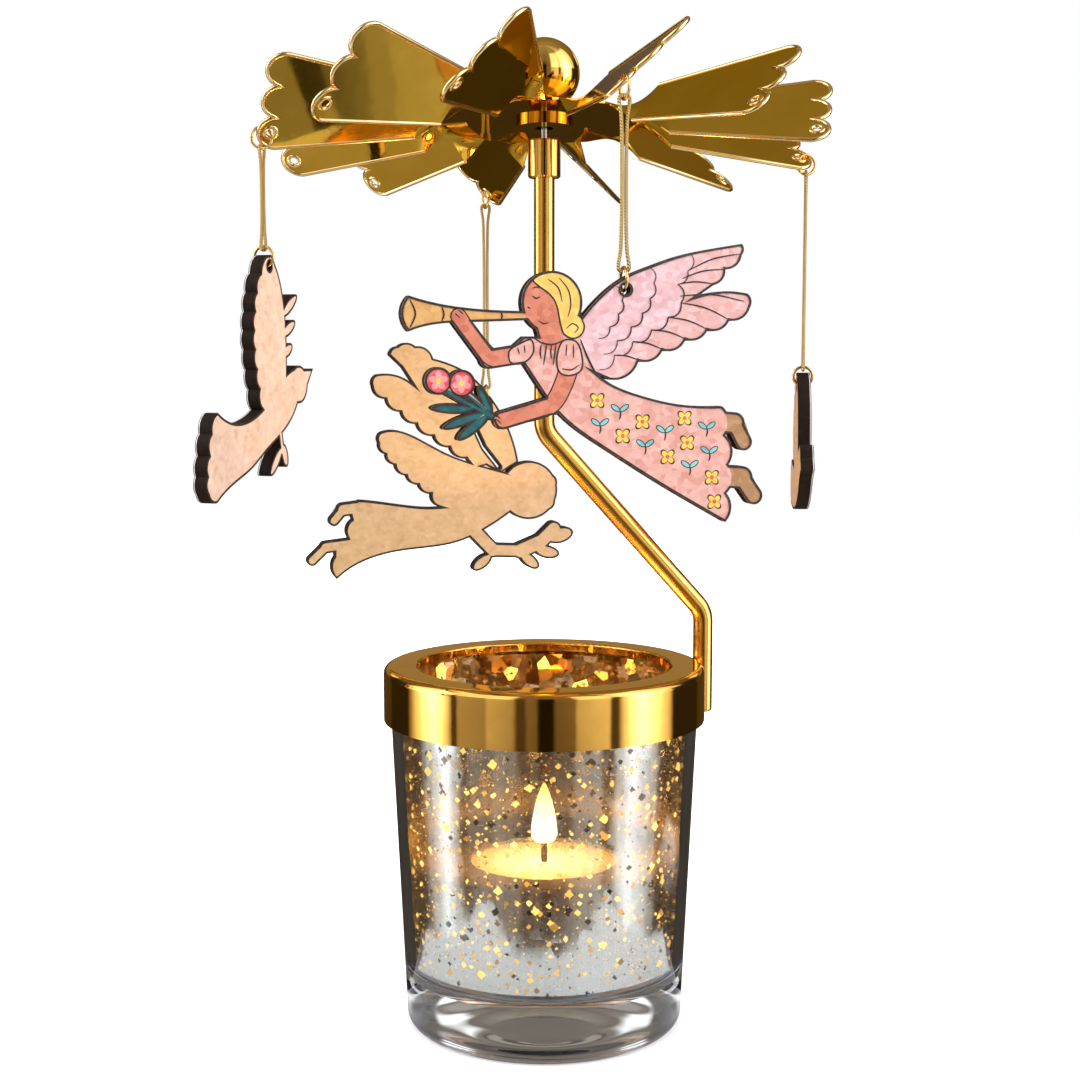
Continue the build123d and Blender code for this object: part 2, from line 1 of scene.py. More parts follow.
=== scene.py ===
import bpy, bmesh, json
from math import atan2, cos, degrees, pi, radians, sin
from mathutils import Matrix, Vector


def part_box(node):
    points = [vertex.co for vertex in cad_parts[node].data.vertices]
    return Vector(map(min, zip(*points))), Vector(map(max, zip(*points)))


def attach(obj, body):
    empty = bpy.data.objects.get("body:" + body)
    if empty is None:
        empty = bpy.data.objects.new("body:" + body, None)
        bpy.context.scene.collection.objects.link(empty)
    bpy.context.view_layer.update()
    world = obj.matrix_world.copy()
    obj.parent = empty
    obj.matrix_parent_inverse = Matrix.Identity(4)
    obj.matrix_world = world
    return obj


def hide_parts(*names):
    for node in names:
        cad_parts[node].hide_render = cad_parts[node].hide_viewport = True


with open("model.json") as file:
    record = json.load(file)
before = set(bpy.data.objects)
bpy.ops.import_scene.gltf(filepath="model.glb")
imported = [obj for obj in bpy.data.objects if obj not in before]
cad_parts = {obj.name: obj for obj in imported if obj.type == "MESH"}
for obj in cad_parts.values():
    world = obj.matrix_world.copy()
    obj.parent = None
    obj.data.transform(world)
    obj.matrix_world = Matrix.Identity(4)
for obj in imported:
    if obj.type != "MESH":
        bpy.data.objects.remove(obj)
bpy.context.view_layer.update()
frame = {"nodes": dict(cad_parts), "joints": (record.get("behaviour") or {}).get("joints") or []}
scene = bpy.context.scene
nodes = frame["nodes"]
joint_places = {joint["name"]: joint.get("pos_m") for joint in frame["joints"]}
MM = 0.001
FLAT = (1, 1, 0)
WHITE = (1, 1, 1, 1)


def put(name, data):
    """A new object in the scene."""
    thing = bpy.data.objects.new(name, data)
    scene.collection.objects.link(thing)
    return thing


def hide_from(thing, *rays):
    """Keep an object out of some kinds of ray."""
    for ray in rays:
        setattr(thing, f"visible_{ray}", False)


# Camera at the photograph's place, 58.8 mm lens on a square frame
camera_data = bpy.data.cameras.new("camera")
camera_data.lens = 58.83
camera_data.sensor_width = 36
camera_data.clip_start = 0.01
camera = put("camera", camera_data)
camera.location = (-0.001034, -0.4353, 0.1677)
camera.rotation_euler = (radians(83.93), 0, 0)
scene.camera = camera
scene.view_settings.view_transform = "Standard"


# Node helpers

def rgba(value):
    """A colour with alpha, from three numbers or from one for grey; a socket stays as it is."""
    if isinstance(value, (int, float)):
        value = (value,) * 3
    return (*value, 1) if isinstance(value, tuple) else value


class Tree:
    """Short calls for the nodes of one shader tree."""

    def __init__(self, tree):
        self.tree = tree

    def feed(self, socket, value):
        """Link a socket to another one, or set its value."""
        if hasattr(value, "is_linked"):
            self.tree.links.new(value, socket)
        else:
            socket.default_value = value

    def node(self, kind, *values, **settings):
        """A new node with its settings made and its first inputs fed."""
        made = self.tree.nodes.new(f"ShaderNode{kind}")
        for key, value in settings.items():
            setattr(made, key, value)
        for socket, value in zip(made.inputs, values):
            self.feed(socket, value)
        return made

    def tune(self, node, **values):
        """Feed a node's inputs by name, with _ for a space."""
        for key, value in values.items():
            self.feed(node.inputs[key.replace("_", " ")], value)
        return node

    def coords(self, output="Object"):
        return self.node("TexCoord").outputs[output]

    def split(self, vector):
        return self.node("SeparateXYZ", vector).outputs

    def channels(self, colour):
        return self.node("SeparateColor", colour).outputs

    def math(self, operation, *values):
        return self.node("Math", *values, operation=operation).outputs[0]

    def times(self, a, b):
        return self.math("MULTIPLY", a, b)

    def plus(self, a, b):
        return self.math("ADD", a, b)

    def below(self, a, b):
        return self.math("LESS_THAN", a, b)

    def blend(self, a, b, share):
        """Sum of two values, the second with the given share."""
        return self.plus(self.times(a, 1 - share), self.times(b, share))

    def span(self, value, low, high, to_low=0, to_high=1):
        return self.node("MapRange", value, low, high, to_low, to_high).outputs[0]

    def pick(self, flag, off, on):
        """One of two numbers by a flag of 0 or 1."""
        return self.span(flag, 0, 1, off, on)

    def vector(self, operation, *values):
        measures = ("LENGTH", "DISTANCE", "DOT_PRODUCT")
        made = self.node("VectorMath", *values, operation=operation)
        return made.outputs["Value" if operation in measures else "Vector"]

    def scaled(self, vector, factors):
        return self.vector("MULTIPLY", vector, factors)

    def noise(self, vector, scale, detail=4, roughness=0.55, distortion=0):
        made = self.node("TexNoise", vector)
        self.tune(made, Scale=scale, Detail=detail, Roughness=roughness, Distortion=distortion)
        return made.outputs["Fac"]

    def voronoi(self, vector, scale, metric="EUCLIDEAN", space="3D"):
        made = self.node("TexVoronoi", vector, distance=metric, voronoi_dimensions=space)
        return self.tune(made, Scale=scale).outputs

    def ramp(self, factor, stops):
        made = self.node("ValToRGB", factor)
        elements = made.color_ramp.elements
        while len(elements) < len(stops):
            elements.new(0.5)
        for element, (place, colour) in zip(elements, stops):
            element.position = place
            element.color = rgba(colour)
        return made.outputs["Color"]

    def mix(self, factor, a, b):
        made = self.node("Mix", factor, data_type="RGBA")
        self.feed(made.inputs[6], rgba(a))
        self.feed(made.inputs[7], rgba(b))
        return made.outputs[2]


class Shader(Tree):
    """The tree of a new material with a Principled shader."""

    def __init__(self, name):
        self.material = bpy.data.materials.new(name)
        self.material.use_nodes = True
        super().__init__(self.material.node_tree)
        self.bsdf = self.tree.nodes["Principled BSDF"]

    def set(self, **values):
        self.tune(self.bsdf, **values)

    def bump(self, height, strength, distance):
        made = self.tune(self.node("Bump"), Strength=strength, Distance=distance, Height=height)
        self.set(Normal=made.outputs[0])


# Materials

def gold_material(name, colour, deep, rough_low, rough_high, wave):
    """Plated gold: slight colour drift, fine polish marks in the gloss and a soft waviness."""
    shade = Shader(name)
    place = shade.coords()
    drift = shade.span(shade.noise(place, 90, 3), 0.35, 0.65)
    marks = shade.noise(place, 1400, 2)
    shade.set(Base_Color=shade.mix(drift, colour, deep), Metallic=1, Specular_Tint=(1, 0.8, 0.4, 1),
              Roughness=shade.span(marks, 0.3, 0.7, rough_low, rough_high))
    shade.bump(shade.noise(place, 160, 1), wave, 0.0004)
    return shade.material


# Copies of one gold, each part's colour set darker or paler to paint the light and shade it shows: gold,
# gold_rod and the blade sheet gold are darkened (painted shade), the rim gold is paler (painted highlight)
gold, gold_ball, gold_rod, gold_sheet, gold_wire, gold_rim_painted_highlight = (gold_material(*row) for row in (
    ("gold", (0.93, 0.53, 0.11), (0.86, 0.47, 0.09), 0.03, 0.07, 0.05),
    ("gold_ball", (0.97, 0.61, 0.14), (0.92, 0.55, 0.11), 0.03, 0.07, 0.05),
    ("gold_rod", (0.9, 0.5, 0.1), (0.84, 0.44, 0.08), 0.17, 0.22, 0.02),
    ("gold_sheet", (0.8, 0.48, 0.06), (0.74, 0.43, 0.045), 0.03, 0.08, 0.06),
    ("gold_wire", (0.96, 0.66, 0.22), (0.86, 0.52, 0.13), 0.08, 0.16, 0.12),
    ("gold_rim_painted_highlight", (1, 0.78, 0.38), (0.96, 0.64, 0.22), 0.1, 0.18, 0.15),
))


def metal_material(name, stretch, scale, light, dark, gloss, dents=0):
    """Bare metal with fine marks along it or round it."""
    shade = Shader(name)
    marks = shade.noise(shade.scaled(shade.coords(), (1, 1, stretch)), scale, 2)
    shade.set(Base_Color=shade.mix(marks, light, dark), Metallic=1, Roughness=shade.span(marks, *gloss))
    if dents:
        shade.bump(marks, dents, 0.0006)
    return shade.material


steel = metal_material("steel", 12, 700, (0.55, 0.55, 0.56), (0.42, 0.42, 0.43), (0.2, 0.8, 0.22, 0.38))
aluminium = metal_material("aluminium", 0.1, 380, (0.56, 0.55, 0.54), (0.42, 0.41, 0.41),
                           (0.3, 0.7, 0.18, 0.34), dents=0.3)


def glass_material():
    """Clear glass whose thick base bulges like a lens at its side and has a pressed ring below."""
    base_height, ring_inside, ring_outside = 14 * MM, 9 * MM, 27 * MM
    lens_curve, ring_depth, swell_depth = -13, 0.0003, 0.00007
    shade = Shader("clear_glass")
    place = shade.coords()
    height = shade.split(place)["Z"]
    climb = shade.math("SUBTRACT", height, base_height / 2)
    bulge = shade.times(shade.times(climb, climb), shade.times(shade.below(height, base_height), lens_curve))
    reach = shade.vector("LENGTH", shade.scaled(place, FLAT))
    wave = shade.math("SINE", shade.span(reach, ring_inside, ring_outside, 0, 2 * pi))
    ring = shade.times(wave, shade.times(shade.below(height, 1 * MM), ring_depth))
    swell = shade.noise(shade.scaled(place, (1, 1, 0.35)), 55, 2)
    shade.bump(shade.plus(shade.times(swell, swell_depth), shade.plus(bulge, ring)), 1, 1)
    shade.set(Base_Color=(0.89, 0.93, 0.895, 1), Roughness=0, IOR=1.48, Transmission_Weight=1)
    return shade.material


def lining_material():
    """Half-silvered coat with diamond flecks where the silver has come away."""
    lining_radius, flame_centre = 34 * MM, (0, 0, 50 * MM)
    shade = Shader("silver_lining")
    place = shade.coords()
    x, y, z = shade.split(place)
    skin = shade.node("CombineXYZ", shade.times(shade.math("ARCTAN2", y, x), lining_radius), z).outputs[0]
    # Diamond flecks of three sizes, a little out of line and present in some cells only
    stray = shade.tune(shade.node("TexNoise", skin), Scale=700).outputs["Color"]
    bent = shade.vector("MULTIPLY_ADD", stray, (0.0012, 0.0012, 0), skin)
    fleck = tint = 0
    for scale, size, share in ((230, 0.31, 0.42), (420, 0.35, 0.52), (950, 0.26, 0.34)):
        cells = shade.voronoi(bent, scale, "MANHATTAN", "2D")
        red, green, blue = shade.channels(cells["Color"])
        within = shade.below(cells["Distance"], shade.span(green, 0, 1, size * 0.35, size))
        mask = shade.times(within, shade.below(red, share))
        fleck = shade.math("MAXIMUM", fleck, mask)
        tint = shade.math("MAXIMUM", tint, shade.times(mask, blue))
    silvered = shade.math("SUBTRACT", 1, fleck)
    # The inner side is broken into tilted facets, the outer side is only a little wavy
    inner = shade.below(shade.vector("DOT_PRODUCT", shade.coords("Normal"), shade.scaled(place, FLAT)), 0)
    facets = shade.voronoi(skin, 330, "EUCLIDEAN", "2D")
    local = shade.vector("SUBTRACT", skin, facets["Position"])
    facet = shade.vector("DOT_PRODUCT", local, shade.vector("SUBTRACT", facets["Color"], (0.5, 0.5, 0.5)))
    ripple = shade.noise(shade.scaled(skin, (1, 0.25, 1)), 130, 2)
    shade.bump(shade.plus(shade.times(facet, shade.pick(inner, 0.03, 1.3)), shade.times(ripple, 0.00025)), 1, 1)
    # Silver outside, warm inside, amber in the flecks
    silver = shade.mix(shade.noise(skin, 60, 3), (0.9, 0.885, 0.865), (0.78, 0.755, 0.73))
    amber = shade.ramp(tint, [(0.05, (0.03, 0.018, 0.01)), (0.22, (0.1, 0.05, 0.015)),
                              (0.34, (0.5, 0.24, 0.04)), (1, (0.66, 0.34, 0.06))])
    coated = shade.mix(inner, silver, (0.66, 0.41, 0.18))
    shade.set(Base_Color=shade.mix(fleck, coated, amber), Metallic=silvered,
              Roughness=shade.span(shade.noise(skin, 240, 3), 0.3, 0.7, 0.05, 0.16),
              Emission_Color=shade.mix(tint, (1, 0.38, 0.05), (1, 0.62, 0.16)))
    # Painted glow in the flecks, standing in for candle light through them, fading away from the flame
    reach = shade.vector("DISTANCE", place, flame_centre)
    painted_fleck_glow = shade.times(shade.span(tint, 0.25, 1), shade.span(reach, 34 * MM, 50 * MM, 3.2, 0.35))
    # Painted candle light on the inner side, strongest in a band just above the wax
    painted_glow_belt = shade.times(shade.span(z, 42 * MM, 45 * MM), shade.span(z, 47 * MM, 53 * MM, 1, 0))
    painted_candle_light = shade.plus(shade.span(reach, 30 * MM, 46 * MM, 0.9, 0.02), shade.times(painted_glow_belt, 5))
    shade.set(Emission_Strength=shade.math("MAXIMUM", shade.times(fleck, painted_fleck_glow), shade.times(inner, painted_candle_light)))
    thin = shade.span(shade.noise(skin, 45, 3), 0.35, 0.7, 0.74, 0.62)
    coat = shade.times(shade.times(thin, shade.pick(inner, 1, 0.4)), silvered)
    shade.set(Alpha=shade.plus(coat, shade.times(fleck, shade.pick(inner, 0.72, 0.15))))
    return shade.material


def wax_material():
    """Lit wax with a painted glow from the flame: bright melted pool round the wick, warmer towards the cup."""
    wax_radius, brightness = 18.6 * MM, 15
    shade = Shader("wax")
    place = shade.coords()
    reach = shade.span(shade.vector("LENGTH", shade.scaled(place, FLAT)), 0, wax_radius)
    spread = shade.plus(reach, shade.times(shade.noise(place, 260, 3), 0.12))
    body = shade.ramp(spread, [(0, (1, 0.92, 0.66)), (0.6, (1, 0.86, 0.5)), (1, (1, 0.7, 0.26))])
    # Emission colour and strength paint the flame's glow on the wax, fading from the wick to the cup
    light = shade.ramp(spread, [(0, (1, 0.86, 0.38)), (0.6, (1, 0.77, 0.24)), (0.95, (1, 0.58, 0.12)),
                                (1, (1, 0.4, 0.06))])
    glow = shade.ramp(spread, [(0, 1), (0.5, 0.8), (1, 0.5)])
    shade.set(Base_Color=body, Roughness=0.28, Subsurface_Weight=0.3, Subsurface_Radius=(0.006, 0.004, 0.002),
              Emission_Color=light, Emission_Strength=shade.times(glow, brightness))
    shade.bump(shade.noise(place, 180, 2), 0.15, 0.0006)
    return shade.material


def wick_material():
    """Charred cotton that glows towards its tip."""
    wick_foot, wick_tip = 40 * MM, 46.5 * MM
    shade = Shader("wick")
    place = shade.coords()
    char = shade.noise(shade.scaled(place, (1, 1, 0.4)), 1500, 3)
    climb = shade.span(shade.split(place)["Z"], wick_foot, wick_tip)
    shade.set(Base_Color=shade.mix(char, (0.06, 0.03, 0.015), (0.16, 0.07, 0.03)), Roughness=0.9,
              Emission_Color=(1, 0.25, 0.04, 1), Emission_Strength=shade.span(climb, 0.45, 1, 0.1, 0.9))
    shade.bump(char, 0.8, 0.0003)
    return shade.material


def board_material(name, face, light, mid, dark):
    """Thin birch board: pale faces with fine figure, laser-burnt edges."""
    shade = Shader(name)
    place = shade.coords()
    facing = shade.vector("DOT_PRODUCT", shade.coords("Normal"), tuple(face))
    on_face = shade.math("GREATER_THAN", shade.math("ABSOLUTE", facing), 0.7)
    figure = shade.noise(place, 170, 6, 0.65, 0.6)
    flake = shade.voronoi(shade.scaled(place, (1, 1, 1.35)), 640)
    patch = shade.blend(figure, shade.channels(flake["Color"])["Red"], 0.18)
    wood = shade.ramp(patch, [(0.22, dark), (0.48, mid), (0.75, light)])
    char = shade.mix(shade.noise(place, 700, 3), (0.008, 0.005, 0.004), (0.03, 0.019, 0.012))
    shade.set(Base_Color=shade.mix(on_face, char, wood), Roughness=shade.span(figure, 0.3, 0.7, 0.48, 0.66),
              Specular_IOR_Level=shade.pick(on_face, 0.06, 0.4))
    shade.bump(patch, 0.25, 0.0003)
    return shade.material


def ink_material(name, light, dark, pearl=0, scale=260):
    """Printed colour with a mottled, slightly pearly tone."""
    shade = Shader(name)
    place = shade.coords()
    clouds = shade.noise(place, scale, 5, 0.6, 0.8)
    chips = shade.voronoi(shade.scaled(place, (1, 1, 1.2)), scale * 2.4)
    mottle = shade.blend(clouds, shade.channels(chips["Color"])["Green"], 0.4)
    shade.set(Base_Color=shade.mix(shade.span(mottle, 0.25, 0.75), dark, light),
              Roughness=shade.span(clouds, 0.3, 0.7, 0.32, 0.52), Coat_Weight=pearl, Coat_Roughness=0.2)
    shade.bump(mottle, 0.15, 0.0002)
    return shade.material


def cord_material():
    """Metallic thread laid in a fine twist."""
    shade = Shader("gold_cord")
    twist = shade.node("TexWave", shade.coords(), wave_type="BANDS", bands_direction="DIAGONAL")
    lay = shade.tune(twist, Scale=1000, Distortion=1).outputs["Fac"]
    # Colour dark in the twist's grooves and pale on its crests: painted shade and painted highlight
    painted_twist_shading = shade.ramp(lay, [(0.1, (0.36, 0.2, 0.03)), (0.5, (0.78, 0.52, 0.12)), (0.9, (0.98, 0.78, 0.32))])
    shade.set(Base_Color=painted_twist_shading, Metallic=0.75, Roughness=shade.pick(lay, 0.5, 0.3))
    shade.bump(lay, 0.8, 0.0002)
    return shade.material


def flame_material():
    """Glowing gas, coloured by height from the wick to the tip."""
    low, high, brightness = 41.5 * MM, 59 * MM, 30
    shade = Shader("flame_skin")
    place = shade.coords()
    climb = shade.span(shade.split(place)["Z"], low, high)
    wander = shade.plus(climb, shade.times(shade.noise(place, 220, 2), 0.06))
    colours = [(0, (1, 0.62, 0.2)), (0.2, (1, 0.86, 0.55)), (0.6, (1, 0.93, 0.7)),
               (0.85, (1, 0.78, 0.34)), (1, (1, 0.55, 0.12))]
    shade.set(Base_Color=(1, 0.75, 0.35, 1), Roughness=0.6, Emission_Color=shade.ramp(wander, colours),
              Emission_Strength=brightness, Alpha=shade.span(climb, 0.18, 0.3, 0.35, 0.95))
    return shade.material


fine_grain = 500
gold_cord = cord_material()
burn = ink_material("burn", (0.06, 0.035, 0.02), (0.015, 0.009, 0.006), scale=fine_grain)


def dress_node(name, material):
    """Give a CAD node its material."""
    slots = nodes[name].data.materials
    slots.clear()
    slots.append(material)


for name, material in (
    ("glass_tumbler", glass_material()), ("glass_lining", lining_material()), ("collar_ring", gold),
    ("arm_rod", gold_rod), ("post_sleeve", gold), ("pivot_needle", steel), ("rotor_vanes", gold_sheet),
    ("hub_bush", gold), ("hub_washer", gold), ("ball_finial", gold_ball), ("tealight_cup", aluminium),
    ("tealight_wax", wax_material()), ("tealight_wick", wick_material()), ("wick_tab", steel),
):
    dress_node(name, material)


def new_piece(name, data, material, body):
    """A named piece of the object, from a bmesh or a curve, that rides on a body."""
    if isinstance(data, bmesh.types.BMesh):
        mesh, data = data, bpy.data.meshes.new(name)
        mesh.to_mesh(data)
        mesh.free()
    data.materials.append(material)
    piece = put(name, data)
    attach(piece, body)
    return piece


def new_tube(name, thickness, roundness):
    """An empty curve that is drawn as a round bar with closed ends."""
    curve = bpy.data.curves.new(name, "CURVE")
    curve.dimensions = "3D"
    curve.bevel_depth = thickness / 2
    curve.bevel_resolution = roundness
    curve.use_fill_caps = True
    return curve


def add_spline(curve, kind, points):
    """A run of points on a curve."""
    spline = curve.splines.new(kind)
    spline.points.add(len(points) - 1)
    for point, spot in zip(spline.points, points):
        point.co = (*spot, 1)
    return spline


# Charms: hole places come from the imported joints

headings = {"angel_front": 14, "dove_left": 251, "angel_back": 194, "dove_right": 85}
board_half = 1.5 * MM
print_depth = 0.15 * MM


class Charm:
    """Drawing frame of one charm: u along the board, v up, and out of the printed face."""

    def __init__(self, name):
        turn = radians(headings[name])
        self.hole = Vector(joint_places[f"{name}_twist"])
        self.along = Vector((cos(turn), sin(turn), 0))
        self.face = self.along.cross(Vector((0, 0, 1)))

    def at(self, u, v, out):
        """World point for drawing millimetres, out metres from the board's middle."""
        return self.hole + self.along * (u * MM) + Vector((0, 0, v * MM)) + self.face * out


charms = {name: Charm(name) for name in headings}
wood_tones = {
    "angel_front": ((0.8, 0.54, 0.28), (0.68, 0.42, 0.19), (0.5, 0.28, 0.11)),
    "angel_back": ((0.82, 0.56, 0.3), (0.72, 0.465, 0.22), (0.58, 0.35, 0.15)),
    "dove_left": ((0.93, 0.7, 0.5), (0.84, 0.58, 0.38), (0.66, 0.4, 0.23)),
    "dove_right": ((0.8, 0.54, 0.3), (0.68, 0.42, 0.21), (0.48, 0.27, 0.11)),
}
white_print = ((0.97, 0.96, 0.93), (0.84, 0.84, 0.85))
print_tones = {
    "angel_front": ((0.86, 0.61, 0.59), (0.7, 0.37, 0.35)),
    "angel_back": ((0.86, 0.9, 0.97), (0.6, 0.7, 0.86)),
    "dove_left": white_print, "dove_right": white_print,
}

# Doubled cords, from under the lower ring's wire up over the upper ring's wire and back
cord_diameter = 0.8 * MM
cad_cord_diameter = 0.6 * MM
spare = cad_cord_diameter - cord_diameter / 2
bow, pinch, end_gap = 1.15 * MM, 0.45 * MM, 0.25 * MM
knee, run = 1.7 * MM, 5 * MM
for name, charm in charms.items():
    low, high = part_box(f"{name}_cord")
    middle = (low + high) / 2
    bottom = low.z + spare
    top = high.z - spare
    half = [(end_gap, bottom), (bow, bottom), (bow, bottom + knee), (pinch, bottom + run), (pinch, top - run),
            (bow, top - knee), (bow, top)]
    route = [Vector((middle.x, middle.y, level)) + charm.along * side
             for side, level in half + [(-side, level) for side, level in reversed(half)]]
    curve = new_tube(f"{name}_cord_thread", cord_diameter, 4)
    curve.resolution_u = 10
    spline = add_spline(curve, "NURBS", route)
    spline.order_u = 3
    spline.use_endpoint_u = True
    thread = new_piece(f"{name}_cord_thread", curve, gold_cord, f"{name}_hanger")
    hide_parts(f"{name}_cord")


def face_rim(name, source, side, width, height):
    """Thin burnt strip along the outline of one face of a flat CAD node, from its own mesh."""
    face = charms[name].face * side
    mesh = bmesh.new()
    mesh.from_mesh(nodes[source].data)
    bmesh.ops.remove_doubles(mesh, verts=mesh.verts, dist=1e-6)
    mesh.normal_update()
    drop = [f for f in mesh.faces if f.normal.dot(face) < 0.9]
    bmesh.ops.delete(mesh, geom=drop, context="FACES")
    made = bmesh.ops.inset_region(mesh, faces=mesh.faces[:], thickness=width, use_even_offset=True,
                                  use_boundary=True)
    strip = set(made["faces"])
    bmesh.ops.delete(mesh, geom=[f for f in mesh.faces if f not in strip], context="FACES")
    flat = mesh.faces[:]
    borders = [edge for edge in mesh.edges if len(edge.link_faces) == 1]
    raised = {vertex: mesh.verts.new(vertex.co + face * height) for vertex in mesh.verts[:]}
    for polygon in flat:
        mesh.faces.new([raised[vertex] for vertex in polygon.verts])
        polygon.normal_flip()
    for edge in borders:
        first, second = edge.verts
        mesh.faces.new((first, second, raised[second], raised[first]))
    bmesh.ops.recalc_face_normals(mesh, faces=mesh.faces[:])
    new_piece(f"{source}_outline", mesh, burn, f"{name}_charm")


for name, charm in charms.items():
    dress_node(f"{name}_board", board_material(f"{name}_wood", charm.face, *wood_tones[name]))
    dress_node(f"{name}_print", ink_material(f"{name}_pearl", *print_tones[name], pearl=0.35))
    dress_node(f"{name}_upper_ring", gold_wire)
    dress_node(f"{name}_lower_ring", gold_wire)
    face_rim(name, f"{name}_board", -1, 0.55 * MM, 0.02 * MM)
    face_rim(name, f"{name}_print", 1, 0.46 * MM, 0.19 * MM)


# Printed designs: flat ink pieces on the boards' outward faces, in drawing millimetres

def oval(x, y, length, width, angle=0, count=28):
    """Closed outline of an ellipse."""
    turn = radians(angle)
    points = []
    for i in range(count):
        a = 2 * pi * i / count
        u, v = length / 2 * cos(a), width / 2 * sin(a)
        points.append((x + u * cos(turn) - v * sin(turn), y + u * sin(turn) + v * cos(turn)))
    return points


def disc(x, y, size, count=28):
    """Closed outline of a circle."""
    return oval(x, y, size, size, 0, count)


def bar(start, end, width, count=8):
    """Closed outline of a round-ended bar."""
    way = atan2(end[1] - start[1], end[0] - start[0])
    turns = [(end, way - pi / 2 + pi * i / count) for i in range(count + 1)]
    turns += [(start, way + pi / 2 + pi * i / count) for i in range(count + 1)]
    return [(x + width / 2 * cos(turn), y + width / 2 * sin(turn)) for (x, y), turn in turns]


def eased(points, closed=False, steps=6):
    """Smooth run through the given points."""
    count = len(points)
    out = []
    for i in range(count if closed else count - 1):
        p = [points[(i + k) % count if closed else min(max(i + k, 0), count - 1)] for k in (-1, 0, 1, 2)]
        for s in range(steps):
            t = s / steps
            out.append(tuple(0.5 * (2 * b + (c - a) * t + (2 * a - 5 * b + 4 * c - d) * t * t
                                    + (3 * b - a - 3 * c + d) * t ** 3) for a, b, c, d in zip(*p)))
    return out if closed else out + [points[-1]]


def sides(run, halves, closed=False):
    """Left and right edges of a line of points, half a width to each side."""
    last = len(run) - 1
    left, right = [], []
    for i, (spot, half) in enumerate(zip(run, halves)):
        ahead = run[(i + 1) % len(run) if closed else min(i + 1, last)]
        behind = run[i - 1 if closed else max(i - 1, 0)]
        way = atan2(ahead[1] - behind[1], ahead[0] - behind[0])
        u, v = half * sin(way), half * cos(way)
        left.append((spot[0] - u, spot[1] + v))
        right.append((spot[0] + u, spot[1] - v))
    return left, right


def stroke(points, width, smooth=True, closed=False):
    """A pen line as its left and right edges; an open one thins at its ends."""
    run = eased(points) if smooth else points
    last = len(run) - 1
    shares = [1 if closed else 0.45 + 0.55 * sin(pi * i / last) for i in range(last + 1)]
    return *sides(run, [width / 2 * share for share in shares], closed), closed


def pen(width, *lines):
    """Smooth pen lines of one width."""
    return [stroke(line, width) for line in lines]


def loop(shape, width):
    """A pen line round a closed outline."""
    return stroke(shape, width, False, True)


def rosette(x, y, size, petals, angle=0):
    """A round flower of separate petals."""
    turns = [radians(angle) + 2 * pi * i / petals for i in range(petals)]
    return [oval(x + size * 0.55 * cos(turn), y + size * 0.55 * sin(turn), size * 0.95, size * 0.7,
                 degrees(turn), 14) for turn in turns]


def bowed(start, end, depth):
    """Point halfway between two others, moved aside by a share of their distance."""
    (x0, y0), (x1, y1) = start, end
    return (x0 + x1) / 2 - (y1 - y0) * depth, (y0 + y1) / 2 + (x1 - x0) * depth


def feathers(root, tips, width):
    """Quill lines from a wing's root towards its tips."""
    lines = []
    for x, y in tips:
        start = (root[0] + (x - root[0]) * 0.3, root[1] + (y - root[1]) * 0.3)
        lines.append([start, bowed(root, (x, y), -0.06), (x, y)])
    return pen(width, *lines)


def arcs(points, depth, steps=6):
    """A run of outward arcs from point to point."""
    out = []
    for (x0, y0), (x1, y1) in zip(points, points[1:]):
        for s in range(steps):
            t = s / steps
            rise = 4 * depth * t * (1 - t)
            out.append((x0 + (x1 - x0) * t - (y1 - y0) * rise, y0 + (y1 - y0) * t + (x1 - x0) * rise))
    return out + [points[-1]]


def plumes(rows, quills, width):
    """Feather lines of a wing: rows of scallops, and a quill from each row to the wing's edge."""
    lines = [stroke(arcs(row, 0.26), width, smooth=False) for row in rows]
    return lines + pen(width, *([q[:2], bowed(q[:2], q[2:], 0.06), q[2:]] for q in quills))


def tapered(points, extra=0, cap=6):
    """Closed outline of a bent limb: a smooth middle line, given as points with the width at each."""
    run = eased([(x, y, width + extra) for x, y, width in points], steps=5)
    left, right = sides(run, [width / 2 for x, y, width in run])

    def round_end(tip, start):
        x, y, width = tip
        first = atan2(start[1] - y, start[0] - x)
        turns = [first + pi * k / cap for k in range(1, cap)]
        return [(x + width / 2 * cos(turn), y + width / 2 * sin(turn)) for turn in turns]

    return right + round_end(run[-1], right[-1]) + left[::-1] + round_end(run[0], left[0])


def inside(point, outline):
    """Whether a point lies within a closed outline."""
    x, y = point
    crossed = [(y0 > y) != (y1 > y) and x < x0 + (x1 - x0) * (y - y0) / (y1 - y0)
               for (x0, y0), (x1, y1) in zip(outline, outline[1:] + outline[:1])]
    return sum(crossed) % 2 == 1


def scatter(region, hidden, start, lean, step):
    """Places for motifs in staggered rows, whole within a region; every other one is of a second kind."""
    motif_size = 4.6
    turn = complex(cos(radians(lean)), sin(radians(lean)))
    first, second = [], []
    for row in range(-4, 5):
        for column in range(12):
            spot = complex(*start) + turn * step * complex(column + 0.5 * (row % 2), 0.82 * row)
            edge = disc(spot.real, spot.imag, motif_size, 12)
            if all(inside(p, region) and not any(inside(p, shape) for shape in hidden) for p in edge):
                (first if (row + column) % 2 else second).append((spot.real, spot.imag))
    return first, second


